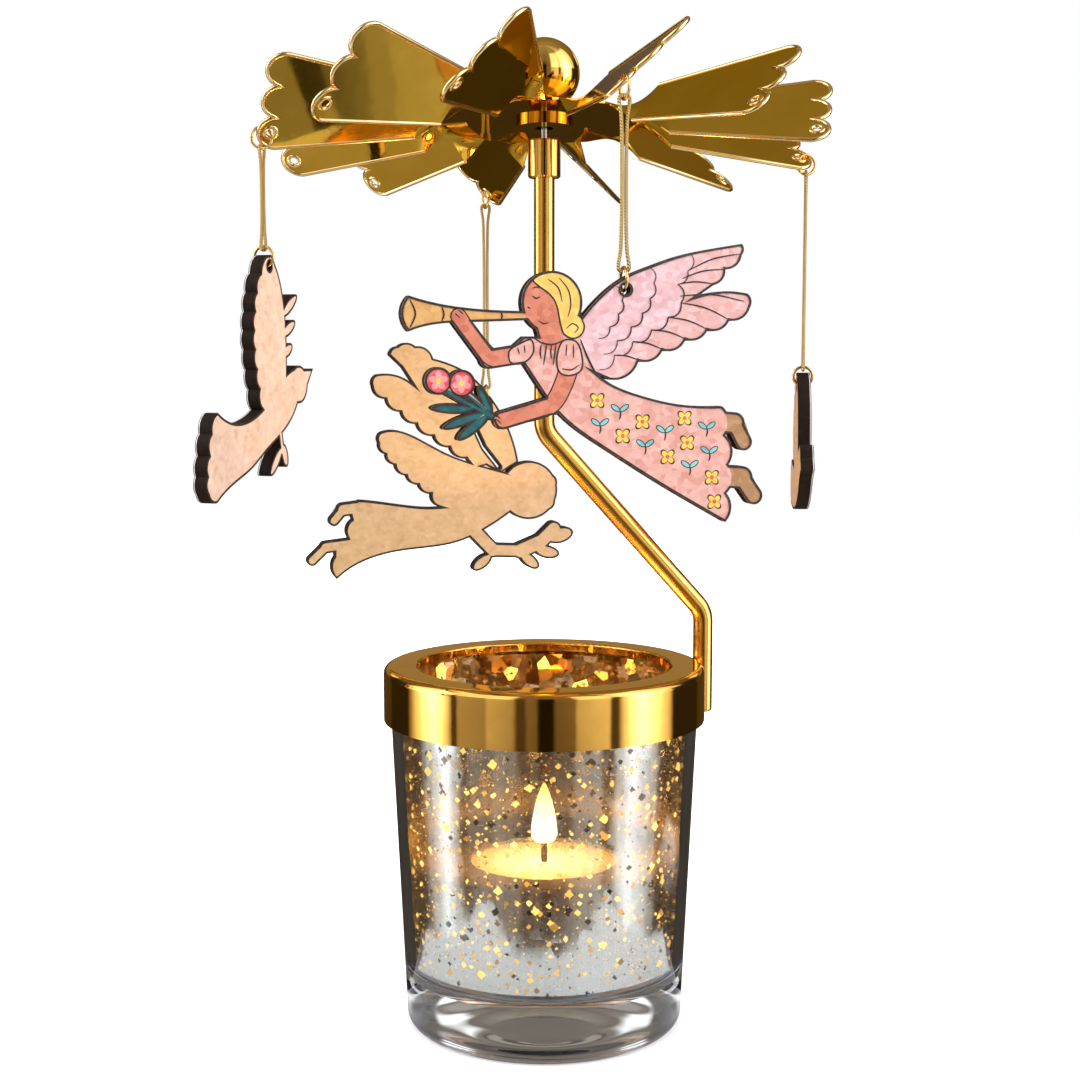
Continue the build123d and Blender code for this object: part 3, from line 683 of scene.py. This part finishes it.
inks = {label: ink_material(f"ink_{label}", *row) for label, row in {
    "peach": ((0.84, 0.49, 0.39), (0.68, 0.29, 0.21), 0.35),
    "blush": ((0.85, 0.55, 0.49), (0.7, 0.33, 0.27), 0.35),
    "skin": ((0.72, 0.25, 0.14), (0.56, 0.15, 0.08), 0.2),
    "hair": ((0.94, 0.66, 0.16), (0.84, 0.48, 0.08), 0.25),
    "horn": ((0.78, 0.45, 0.15), (0.64, 0.32, 0.09), 0.2),
    "red": ((0.9, 0.16, 0.13), (0.7, 0.05, 0.06), 0.3),
    "rose": ((0.96, 0.42, 0.38), (0.88, 0.26, 0.25), 0.3),
    "teal": ((0.015, 0.15, 0.14), (0.006, 0.07, 0.07), 0.2),
    "mint": ((0.3, 0.66, 0.62), (0.16, 0.46, 0.44), 0.2),
    "yellow": ((1, 0.72, 0.1), (0.9, 0.52, 0.05), 0.2),
    "feet": ((0.52, 0.29, 0.13), (0.38, 0.19, 0.07)),
    "sky": ((0.72, 0.82, 0.95), (0.45, 0.58, 0.8), 0.35),
    "grey": ((0.72, 0.74, 0.78), (0.58, 0.6, 0.66), 0.3),
    "black": ((0.03, 0.022, 0.02), (0.01, 0.008, 0.008), 0, fine_grain),
}.items()}
print_top = board_half + print_depth
ink_thickness = 0.02 * MM
layer_step, overlap_step = 0.025 * MM, 0.004 * MM


def ink(name, label, shapes, layer, colour):
    """One colour of a printed design, as thin raised ink: filled outlines and pen lines."""
    mesh = bmesh.new()

    def corners(points, out):
        return [mesh.verts.new(charms[name].at(u, v, out)) for u, v in points]

    for number, shape in enumerate(shapes):
        top = print_top + ink_thickness + layer_step * layer + overlap_step * (number % 5)
        if isinstance(shape, tuple):
            left, right, closed = shape
            rails = [corners(points, out) for out in (top, top - ink_thickness) for points in (left, right)]
            quad = (rails[0], rails[1], rails[3], rails[2])
            count = len(left)
            for i in range(count if closed else count - 1):
                k = (i + 1) % count
                for edge, other in zip(quad, quad[1:] + quad[:1]):
                    mesh.faces.new((edge[i], other[i], other[k], edge[k]))
            if not closed:
                mesh.faces.new([edge[0] for edge in reversed(quad)])
                mesh.faces.new([edge[-1] for edge in quad])
        else:
            upper, lower = corners(shape, top), corners(shape, top - ink_thickness)
            mesh.faces.new(upper)
            mesh.faces.new(lower[::-1])
            for i in range(len(shape)):
                k = (i + 1) % len(shape)
                mesh.faces.new((upper[k], upper[i], lower[i], lower[k]))
    mesh.normal_update()
    bmesh.ops.triangulate(mesh, faces=[f for f in mesh.faces if len(f.verts) > 4])
    bmesh.ops.recalc_face_normals(mesh, faces=mesh.faces[:])
    new_piece(f"{name}_{label}", mesh, inks[colour], f"{name}_charm")


def small_flowers(name, first, second):
    """Staggered sprinkle of four-petalled flowers and leaf pairs, each with a dark edge."""
    petals = [shape for x, y in first for shape in rosette(x, y, 1.6, 4, 45)]
    shadows = [shape for x, y in first for shape in rosette(x, y, 1.95, 4, 45)]
    leaves, stems = [], []
    for x, y in second:
        for side in (35, 145):
            u, v = x + 1.15 * cos(radians(side)), y + 1.15 * sin(radians(side))
            leaves.append(oval(u, v, 2, 0.8, side, 14))
            shadows.append(oval(u, v, 2.4, 1.2, side, 14))
        stems += pen(0.34, [(x, y + 0.4), (x + 0.15, y - 0.8), (x - 0.1, y - 1.7)])
    ink(name, "motif_edges", shadows + stems, 2, "black")
    ink(name, "stars", petals, 3, "yellow")
    ink(name, "sprigs", leaves, 3, "mint")
    ink(name, "dots", [disc(x, y, 0.9, 12) for x, y in first], 4, "red")


# Front angel
name = "angel_front"
dress = [(-23.2, -11.7), (-21.4, -9.9), (-10, -9.9)] + eased(
    [(-9.5, -10.6), (-6.2, -17.5), (3.3, -22.1), (10, -23.7), (20.8, -24.4)]) + arcs(
    [(20.9, -24.5), (21.7, -30.2), (22.5, -36.4), (22.1, -42.5), (21.9, -48.1)], 0.2) + eased(
    [(21.2, -47.8), (8.2, -40.3), (-4.5, -32.3), (-13.4, -25.8), (-19.3, -18.2), (-23.2, -12.2)])
horn = eased([(-21, -4.7), (-26, -4.65), (-31.5, -4.35), (-37.5, -3.65), (-45.2, -1.85)]) + eased(
    [(-46.2, -3.4), (-46.6, -5.1), (-46.2, -6.8)]) + eased(
    [(-45.2, -8.35), (-41, -7.1), (-36.5, -6.6), (-31, -6.4), (-25.5, -6.25), (-21, -6.1)])
limbs = [
    [(-22.6, -13.2, 3.5), (-25.4, -13.6, 3.4), (-28.4, -13.9, 3.2), (-31.2, -10.9, 2.9), (-33.2, -8.3, 2.7),
     (-35.2, -5.6, 2.9)],
    [(-11.9, -15.2, 3.7), (-13.3, -19.4, 3.6), (-15.6, -23.3, 3.4), (-19.4, -24.9, 3.2), (-23, -25.8, 2.8),
     (-26.6, -26.8, 2.9)]]
arms = [tapered(limb) for limb in limbs]
arm_edges = [tapered(limb, 0.56) for limb in limbs]
sleeves = [eased(points, closed=True) for points in (
    [(-20.2, -10.3), (-22.7, -11.2), (-24.7, -12.6), (-24.5, -14.8), (-22.6, -15.2), (-20.6, -14.2),
     (-19.6, -12.4)],
    [(-13.2, -10.4), (-10.7, -10.6), (-9.5, -13), (-9.4, -16.2), (-11.4, -17.5), (-13.8, -17.2),
     (-14.7, -15.2), (-14.4, -12.4)])]
hair = eased([(-19.7, 1.9), (-17.4, 3.1), (-14.6, 3.3), (-12.2, 2.3), (-10.4, 0.4), (-9.7, -1.6), (-9.7, -3.8),
              (-9.5, -5.8), (-8.9, -7.6), (-9.6, -9.3), (-11.3, -10), (-13.1, -9.2), (-13.8, -7.6),
              (-14.2, -5.8), (-14.6, -3.8), (-15.4, -2), (-16.8, -0.6), (-18.4, 0.5)], closed=True)
coverts = [(14.2, 7.3), (13.4, 4), (11.2, 1.2), (12, -2.6), (9.2, -5.6), (5.6, -8.2), (1.6, -10.6),
           (-2.4, -13.4), (-5.6, -16.4)]
flight = arcs(coverts, 0.26) + arcs(
    [(-4, -17.8), (2.7, -14.3), (7.9, -12.1), (12.9, -9.9), (17.7, -7.9), (22.5, -5.9), (26.8, -3.2)],
    -0.2) + eased([(26.2, -0.9), (20.4, -0.5), (15.4, -1.4)]) + arcs(
    [(19, 1), (21.4, 4.3), (24.9, 7.3), (24.8, 9.4)], -0.2) + [(18, 8.2)]
blossoms = [(-39.4, -18.6), (-34.6, -19.1)]
ink(name, "horn", [horn], 0, "horn")
ink(name, "feet", [
    tapered([(21.8, -27.5, 4.2), (24.2, -27.9, 4), (25.5, -29.8, 3.4), (26.2, -31.7, 3)]),
    tapered([(22.4, -39, 4.4), (25.8, -39.4, 4.2), (27.4, -41.2, 3.6), (28.6, -43.1, 3.2)])], 0, "feet")
ink(name, "leaves", [
    oval(-36.4, -24.2, 8.4, 1.7, 178), oval(-34.2, -26.6, 8.8, 1.7, 20), oval(-32.2, -28, 7.8, 1.9, 38),
    oval(-29.8, -22.4, 5.8, 1.5, 118), bar((-38.2, -20.5), (-28, -26), 1),
    bar((-34.4, -21), (-28, -26), 1)], 0, "teal")
ink(name, "flight_feathers", [flight], 0, "blush")
ink(name, "dress", [dress], 1, "peach")
small_flowers(name, *scatter(dress, arm_edges + sleeves, (-11, -20.5), -24.5, 5.4))
ink(name, "arm_edges", arm_edges, 2, "black")
ink(name, "skin", [disc(-15.7, -2.7, 12.4), bar((-16.4, -7.6), (-15.6, -10.2), 4.6)] + arms, 3, "skin")
ink(name, "sleeves", sleeves, 4, "peach")
ink(name, "hair", [hair], 4, "hair")
ink(name, "blossoms", [disc(x, y, 4.9) for x, y in blossoms], 1, "red")
ink(name, "petals", rosette(*blossoms[0], 1.9, 5, 18) + rosette(*blossoms[1], 1.9, 5, 50), 2, "rose")
ink(name, "blossom_eyes", [disc(x, y, 1.1, 14) for x, y in blossoms], 3, "yellow")
outline = [loop(hair, 0.32)] + [loop(sleeve, 0.34) for sleeve in sleeves]
for width, *lines in (
    (0.42, [(-9.7, -10.2), (-8.2, -13.8), (-6.2, -17.3), (-3.2, -19.4)]),
    (0.3, [(-14.2, 2.2), (-12.3, -0.2), (-11.8, -3.2), (-12.4, -5.6)],
     [(-16.6, 2), (-14.4, 0.2), (-13.6, -2.6)]),
    (0.28, [(-12.7, -8), (-11.4, -7), (-10.2, -7.8), (-11, -8.9)]),
    (0.32, [(-19.9, -1.4), (-19.1, -1.9), (-18.2, -1.6)]),
    (0.26, [(-19.8, 0.1), (-19, 0.4), (-18.2, 0.1)]),
    (0.28, [(-20.9, -3.6), (-20.3, -4)], [(-18.6, -6.4), (-17.6, -7), (-16.4, -6.8)]),
    (0.34, [(-45.1, -2.3), (-44, -5.1), (-45.1, -7.9)], [(-38.6, -3.7), (-38.2, -5.2), (-38.6, -6.6)],
     [(-26.4, -4.7), (-26.2, -5.5), (-26.4, -6.2)]),
    (0.36, [(-19.4, -10), (-17.6, -11), (-15.4, -11.2), (-13.2, -10.3)]),
    (0.3, *([(x, -11.2), (x - 0.2, -12.8), (x - 0.6 * (i % 2), -14.2 - 1.2 * (i % 2))]
            for i, x in enumerate((-18, -16.9, -15.8, -14.9)))),
    (0.28, [(-23, -11.9), (-22.6, -13.2)], [(-21.6, -11.4), (-21.4, -13)], [(-12.6, -11.2), (-12.8, -13.6)],
     [(-11.2, -11.2), (-11.2, -14)]),
    (0.3, [(-13.6, -16.2), (-11.6, -16.4), (-10, -15.4)]),
    (0.24, *([(x, y), (x - 1, y + 0.9)]
             for x, y in ((-34.2, -5.2), (-34.9, -5.9), (-26.6, -26.3), (-26.4, -27.3)))),
):
    outline += pen(width, *lines)
outline += plumes(
    [coverts, [(5.2, 4.5), (6, 1.4), (5.2, -1.8), (3.6, -4.8), (1.2, -7.6), (-1.8, -10.4), (-4.8, -13.2)],
     [(-2, 0.6), (-0.8, -2.2), (-1.6, -5), (-3.4, -7.6), (-5.8, -10)]],
    [(13.4, 4, 24.6, 7.6), (12.2, 2.4, 21.2, 4.4), (11.2, 1.2, 18.8, 1.4), (11.7, -1.2, 25.8, -2.2),
     (12, -2.6, 22.3, -5.9), (9.2, -5.6, 17.5, -7.9), (5.6, -8.2, 12.7, -9.9), (1.6, -10.6, 7.7, -12.1),
     (-2.4, -13.4, 2.5, -14.3)], 0.3)
outline += [loop(disc(x, y, 5), 0.34) for x, y in blossoms]
ink(name, "lines", outline, 5, "black")

# Back angel
name = "angel_back"
dress = eased([(-5.4, -22.4), (4, -27.4), (13.8, -29.8), (23.5, -29.2), (36.2, -27.4)]) + arcs(
    [(36.4, -27.5), (38.2, -32.5), (39.4, -37.7), (43.1, -42.6), (42.7, -48.4)], 0.2) + eased(
    [(42.2, -48.2), (33.3, -43.1), (25.5, -41.3), (7.4, -38.7), (1, -35.7), (-6.4, -30.9)])
arm = [(5, -35.2, 3.6), (3, -37.2, 3.6), (0.6, -39.7, 3.5), (-1.9, -42, 3.4)]
arm_edge = tapered(arm, 0.5)
hair = eased([(-18.9, -21.2), (-16.1, -18.4), (-12.8, -17.3), (-9.4, -17.8), (-6.6, -19.6), (-4.8, -22.4),
              (-4.3, -25.8), (-5.4, -29), (-7.2, -31.2), (-9.6, -31.2), (-10.6, -29.2), (-10.6, -26.6),
              (-11.9, -24.2), (-14.2, -22.6), (-16.6, -22)], closed=True)
ink(name, "dress", [dress], 1, "sky")
ink(name, "branch", [
    tapered([(-2.6, -42.1, 3.1), (-9.6, -42.4, 3.2), (-15.4, -40.1, 3.8), (-19, -36.8, 3.7)]),
    oval(1.6, -45.4, 6.2, 2.8, -37), oval(-12.2, -45.2, 6.4, 3, 39), oval(-17.4, -42.9, 6.8, 3.1, 12)],
    0, "teal")
ink(name, "blossom", [oval(-21.2, -38.2, 7.4, 4, 166)], 1, "red")
ink(name, "petals", [oval(-22.4, -37.9, 3, 1.6, 166), oval(-19.8, -38.5, 3, 1.6, 166)], 2, "rose")
small_flowers(name, *scatter(dress, [arm_edge], (-2, -29.5), -13, 5.2))
ink(name, "arm_edges", [arm_edge], 2, "black")
ink(name, "skin", [disc(-12.1, -25.1, 16.1), disc(-17.8, -23, 4.8), disc(-17.2, -28.4, 4.8), tapered(arm)],
    3, "skin")
ink(name, "feet", [
    tapered([(37.4, -29.2, 3.4), (41, -29.7, 3.3), (42.5, -31.2, 2.9), (43.6, -32.6, 2.5)]),
    tapered([(40.6, -39.4, 3), (46, -40.1, 2.9), (48, -41.9, 2.7), (49.8, -43.6, 2.5)])], 0, "skin")
ink(name, "hair", [hair], 4, "hair")
outline = [loop(hair, 0.32)] + pen(0.42, [(-5.4, -22.4), (4, -27.4), (13.8, -29.9)])
outline += pen(0.3, [(-8.6, -18.8), (-6.8, -22.4), (-7.2, -27)], [(-12.6, -18.4), (-9.4, -21.2), (-8.8, -25.6)])
outline += pen(0.34, [(-18.2, -23.8), (-17.2, -24.4), (-16, -24)])
outline += pen(0.32, [(-18.4, -28.6), (-17.4, -29.2), (-16.4, -29)])
outline += plumes(
    [[(12.6, 11.2), (15.4, 8), (16.4, 4.6), (18.6, 1.6), (16, -1.6), (12.4, -4.6), (8.4, -7.6), (4.8, -10.4)],
     [(3.4, 5.6), (6.8, 3.2), (8.6, 0.2), (8, -3.2), (5.6, -6)]],
    [(15.4, 8, 24.6, 14.4), (14.2, 9.4, 20.4, 15), (18.6, 1.6, 31.8, 4.9), (16, -1.6, 28.4, 1.3),
     (12.4, -4.6, 24.2, -2.3), (8.4, -7.6, 19.8, -5.7), (6.6, -9, 15, -9.1), (4.8, -10.4, 10.4, -12.3)], 0.32)
outline += plumes(
    [[(17.4, -11.8), (18.2, -15.2), (16.6, -18.4), (14, -21.2), (11, -23.8), (8.4, -26.8)],
     [(8.4, -16.2), (9.4, -19.2), (8, -22.2), (5.6, -24.8)]],
    [(18.2, -15.2, 30.6, -11.2), (16.6, -18.4, 28.6, -14.4), (14, -21.2, 26, -17.4),
     (12.4, -22.6, 22.8, -20.3), (11, -23.8, 19.4, -22.9), (9.6, -25.4, 15.8, -25.5)], 0.32)
ink(name, "lines", outline, 5, "black")

# Doves
for name, wing_root, wing_tips, far_tips, tail_root, tail_tips, eye, beak, sprig in (
    ("dove_left", (-1, -30),
     [(1, 0), (3.6, -4), (5.2, -8.4), (6, -12.8), (6.2, -17.2), (5.6, -21.8), (4.4, -26.4)],
     [(-12.2, -7.4), (-11.2, -13.4)],
     (14, -41), [(26.6, -36.4), (28, -40.6), (28.8, -45.2), (28.6, -49.2), (26, -51.8)],
     (-15.4, -26.8), [(-17.6, -24.9), (-21.2, -24.5), (-18.2, -28.4)],
     [bar((-4.2, -39.2), (-5.4, -44), 1.2), oval(-2, -45.8, 8, 2.2, -46), oval(-6.4, -44.6, 5.2, 2.4, 70)]),
    ("dove_right", (-4, -22),
     [(1.6, 1.4), (5.6, -0.6), (8.2, -4.2), (10, -8.4), (10.6, -13), (8.6, -17.4)],
     [(-5.6, -6)], (8, -26), [(17.6, -22), (19.6, -24.6), (19, -28.2), (16, -30.6)],
     (-16.8, -17.8), [(-19.6, -17.6), (-22.4, -19.8), (-19.2, -20.8)], []),
):
    ink(name, "beak", [beak], 0, "horn")
    quills = feathers(wing_root, wing_tips + far_tips, 0.32) + feathers(tail_root, tail_tips, 0.32)
    ink(name, "lines", quills + [disc(*eye, 0.9, 12)], 2, "black")
    halfway = [(wing_root[0] * 0.4 + x * 0.6, wing_root[1] * 0.4 + y * 0.6) for x, y in wing_tips]
    ink(name, "shades", pen(0.7, *([a, bowed(a, b, -0.3), b] for a, b in zip(halfway, halfway[1:]))), 1, "grey")
    if sprig:
        ink(name, "sprig", sprig, 0, "teal")

# Flame: a glowing drop turned about the wick, full just above its foot and drawn out to a point
flame_foot, flame_tip, flame_radius, columns = 44.8 * MM, 60.5 * MM, 3.3 * MM, 28
profile = eased([(0, 0), (0.02, 0.52), (0.06, 0.84), (0.14, 1), (0.28, 0.97), (0.45, 0.86), (0.6, 0.71),
                 (0.75, 0.51), (0.88, 0.29), (0.96, 0.12), (1, 0)], steps=3)
mesh = bmesh.new()
rings = []
for climb, swell in profile[1:-1]:
    level = flame_foot + (flame_tip - flame_foot) * climb
    rings.append([mesh.verts.new((x, y, level)) for x, y in disc(0, 0, 2 * flame_radius * swell, columns)])
foot = mesh.verts.new((0, 0, flame_foot))
tip = mesh.verts.new((0, 0, flame_tip))
pairs = [(j, (j + 1) % columns) for j in range(columns)]
for lower, upper in zip(rings, rings[1:]):
    for j, k in pairs:
        mesh.faces.new((lower[j], lower[k], upper[k], upper[j]))
for j, k in pairs:
    mesh.faces.new((foot, rings[0][k], rings[0][j]))
    mesh.faces.new((tip, rings[-1][j], rings[-1][k]))
flame = new_piece("flame", mesh, flame_material(), "tealight")
for polygon in flame.data.polygons:
    polygon.use_smooth = True

# Rolled bright rims round the blades and their eyelets, on the CAD rotor's own places; their paler gold is a
# painted highlight
lean = radians(5)
needle_tip = Vector(joint_places["rotor_spin"])
rotor_up = Vector((0, sin(lean), cos(lean)))
rotor_x = Vector((1, 0, 0))
rotor_y = rotor_up.cross(rotor_x)
blade_count, blade_phase, blade_pitch, disc_drop = 12, 19, radians(44), 5
blade_root, root_half, lobe_line, lobe_radius, lobe_pitch = 31, 7, 64, 4.2, 8.4
eyelet_inset, eyelet_rim = 2.8, 1.5
eyelet_line = lobe_line + lobe_radius - eyelet_inset
lobe_steps, eyelet_steps = 12, 24


def blade_point(index, out, chord):
    """World point on a blade's middle surface, from millimetres along and across it."""
    turn = radians(blade_phase + index * 360 / blade_count)
    reach = rotor_x * cos(turn) + rotor_y * sin(turn)
    side = rotor_up.cross(reach)
    up_chord = side * cos(blade_pitch) + rotor_up * sin(blade_pitch)
    return needle_tip - rotor_up * (disc_drop * MM) + reach * (out * MM) + up_chord * (chord * MM)


# Blade edge in blade millimetres: up one side, round the three lobes, down the other
edge = [(blade_root, -root_half)]
for lobe in (-1, 0, 1):
    for step in range(lobe_steps + 1):
        angle = -pi / 2 + pi * step / lobe_steps
        edge.append((lobe_line + lobe_radius * cos(angle), lobe * lobe_pitch + lobe_radius * sin(angle)))
edge.append((blade_root, root_half))
eyelet = disc(eyelet_line, -lobe_pitch, 2 * eyelet_rim, eyelet_steps)
rims = new_tube("blade_rims", 1.1 * MM, 3)
for index in range(blade_count):
    add_spline(rims, "POLY", [blade_point(index, *spot) for spot in edge])
    add_spline(rims, "POLY", [blade_point(index, *spot) for spot in eyelet]).use_cyclic_u = True
new_piece("blade_rims", rims, gold_rim_painted_highlight, "rotor")


# Studio: white behind, soft boxes and dark gaps round the object for the gold to show

world = bpy.data.worlds.new("studio")
scene.world = world
world.use_nodes = True
world.node_tree.nodes.clear()
studio = Tree(world.node_tree)
way_x, way_y, way_z = studio.split(studio.coords("Generated"))
heading = studio.math("ARCTAN2", way_x, studio.times(way_y, -1))
turn = studio.plus(studio.math("DIVIDE", heading, 2 * pi), 0.5)
level = studio.plus(studio.times(way_z, 0.5), 0.5)


def by_rise(*stops):
    """Brightness by the angle above the horizon."""
    return studio.ramp(level, [(0.5 + 0.5 * sin(radians(angle)), value) for angle, value in stops])


def card(turns, *rises):
    """Brightness by the angle round the object, from the camera's side to the right, and by the rise."""
    by_turn = studio.ramp(turn, [((angle + 180) / 360, value) for angle, value in turns])
    return studio.times(by_turn, by_rise(*rises))


walls = card([(-180, 0.05), (-142, 0.05), (-138, 0.02), (-112, 0.02), (-108, 0.3), (-84, 3), (-70, 0.6),
              (-67.5, 0.06), (-64, 0.06), (-63, 0.36), (-42, 0.28), (-40, 0.5), (-22, 0.34), (-19, 0.06),
              (-13.5, 0.06), (-12, 0.16), (-5, 0.14), (-4, 0.01), (6, 0.01), (8, 0.12), (21, 0.16), (23, 0.5),
              (46, 0.75), (48, 0.06), (53, 0.06), (55, 0.5), (72, 3), (99, 0.7), (103, 0.02), (138, 0.02),
              (142, 0.05), (180, 0.05)],
             (-50, 0.3), (-28, 0.3), (-17, 0.38), (-10, 1), (13, 1), (34, 0.3), (90, 0.05))
overhead = by_rise((-90, 0.18), (-60, 0.2), (-42, 0.26), (-31, 0.04), (-12, 0), (18, 0), (34, 0.12),
                   (55, 0.15), (90, 0.22))
side_windows = card([(-118, 0), (-110, 1), (-26, 1), (-20, 0), (20, 0), (26, 1), (110, 1), (118, 0)],
                    (12, 0), (15, 0.75), (54, 0.75), (60, 0))
back_window = card([(-150, 1), (-144, 0), (144, 0), (150, 1)], (5, 0), (7, 0.16), (12, 0.16), (14, 0))
rear_windows = card([(-170, 0.05), (-158, 0.12), (-155, 1), (-147, 1), (-144, 0), (144, 0), (147, 1),
                     (157, 1), (160, 0.12), (170, 0.05)], (14, 0), (16, 0.8), (22, 0.8), (26, 0))
light = walls
for part in (overhead, side_windows, back_window, rear_windows):
    light = studio.plus(light, part)
# The darker the wall, the warmer its tone
brightest = 3
warm = studio.ramp(studio.math("DIVIDE", light, brightest), [(value / brightest, colour) for value, colour in (
    (0, (0, 0, 0)), (0.12, (0.135, 0.11, 0.09)), (0.4, (0.41, 0.39, 0.37)), (1, (1, 1, 1.08)),
    (brightest, (3, 3.15, 4.6)))])
room = studio.tune(studio.node("Background"), Color=warm, Strength=1.5)
backdrop = studio.tune(studio.node("Background"), Color=WHITE, Strength=1)
seen = studio.node("LightPath").outputs["Is Camera Ray"]
shown = studio.node("MixShader", seen, room.outputs[0], backdrop.outputs[0])
studio.node("OutputWorld", shown.outputs[0])


def stage_sheet(name, corners, material):
    """A flat sheet of the set, which isn't part of the object."""
    mesh = bpy.data.meshes.new(name)
    mesh.from_pydata(corners, [], [(0, 1, 2, 3)])
    mesh.materials.append(material)
    sheet = put(name, mesh)
    return sheet


# Floor: a white sheet to the eye; in reflections it has the dark cards that stand round such an object
floor = Shader("floor")
floor_place = floor.coords()
floor_x, floor_y = floor.split(floor_place)[:2]
floor_level = -0.0002
from_axis = floor.vector("DISTANCE", floor_place, (0, 0, 0))
from_disc = floor.vector("DISTANCE", floor_place, (0.152, 0.052, 0))


def bands(shade, across, *stops):
    """Cards side by side along one direction: pairs of millimetres and brightness."""
    low, high = stops[0][0], stops[-1][0]
    place = shade.span(across, low * MM, high * MM)
    return shade.ramp(place, [((at - low) / (high - low), value) for at, value in stops])


right_card = bands(floor, floor.plus(floor_x, floor.times(floor_y, 0.9)), (160, 0.06), (187, 0.14), (189, 0.22),
                   (204, 0.22), (208, 0.3), (250, 0.34))
# A dark disc under the glass with a lighter ring round it, seen only in reflections and through the glass:
# painted shade
painted_shade_under_glass = bands(floor, from_axis, (0, 0.05), (17, 0.05), (21, 0.6), (40, 0.6))
right_disc = floor.span(from_disc, 0.030, 0.036, 1, 0)
cards = floor.mix(right_disc, 0.62, right_card)
cards = floor.mix(floor.below(from_axis, 0.036), cards, painted_shade_under_glass)
floor_seen = floor.node("LightPath").outputs["Is Camera Ray"]
# In reflections the sheet is only as large as a table mat, with a card to the right
mat = floor.times(floor.below(floor.math("ABSOLUTE", floor_x), 0.095), floor.below(floor_y, 0.015))
floor.set(Base_Color=floor.mix(floor_seen, cards, 0.92), Roughness=0.7,
          Alpha=floor.math("MAXIMUM", floor_seen, floor.math("MAXIMUM", mat, right_disc)), Emission_Color=WHITE,
          Emission_Strength=floor.times(floor_seen, floor.span(from_axis, 0.1, 0.32, 0.3, 1)))
stage_sheet("floor", [(x, y, floor_level) for x, y in (
    (-0.16, -0.096), (0.16, -0.096), (0.56, 1.2), (-0.56, 1.2))], floor.material)

# Striped card under the left blade, seen in gloss alone
flag_left, flag_right, flag_front, flag_back, flag_level = -52, -6, -54, -27, 150
flag = Shader("flag")
stripes = bands(flag, flag.split(flag.coords())["X"], (flag_left, 0.24), (-36.5, 0.28), (-35.5, 0.02),
                (-29, 0.03), (-28, 0.14), (flag_right, 0.42))
flag.set(Base_Color=(0, 0, 0, 1), Emission_Color=stripes, Emission_Strength=1)
hide_from(stage_sheet("flag", [(x * MM, y * MM, flag_level * MM) for x, y in (
    (flag_left, flag_front), (flag_right, flag_front), (flag_right, flag_back), (flag_left, flag_back))],
    flag.material), "camera", "diffuse", "transmission", "shadow")

# Soft lamps round the object, and the flame's own light
for name, place, aim_height, size, power in (
    ("key", (-0.55, -0.85, 0.75), 0.13, 0.6, 5), ("fill", (0.75, -0.7, 0.45), 0.13, 0.6, 3.2),
    ("top", (0, 0.1, 1.2), 0.1, 0.8, 8), ("back", (0.2, 0.9, 0.7), 0.12, 0.6, 3),
):
    lamp_data = bpy.data.lights.new(name, "AREA")
    lamp_data.shape = "DISK"
    lamp_data.size = size
    lamp_data.energy = power
    lamp = put(name, lamp_data)
    lamp.location = place
    lamp.rotation_euler = (Vector((0, 0, aim_height)) - Vector(place)).to_track_quat("-Z", "Y").to_euler()
    hide_from(lamp, "camera", "glossy", "transmission")
glow_data = bpy.data.lights.new("flame_light", "POINT")
glow_data.energy = 0.5
glow_data.color = (1, 0.62, 0.25)
glow_data.shadow_soft_size = 0.004
glow = put("flame_light", glow_data)
glow.location = (0, 0, 0.052)
hide_from(glow, "camera", "glossy", "transmission")
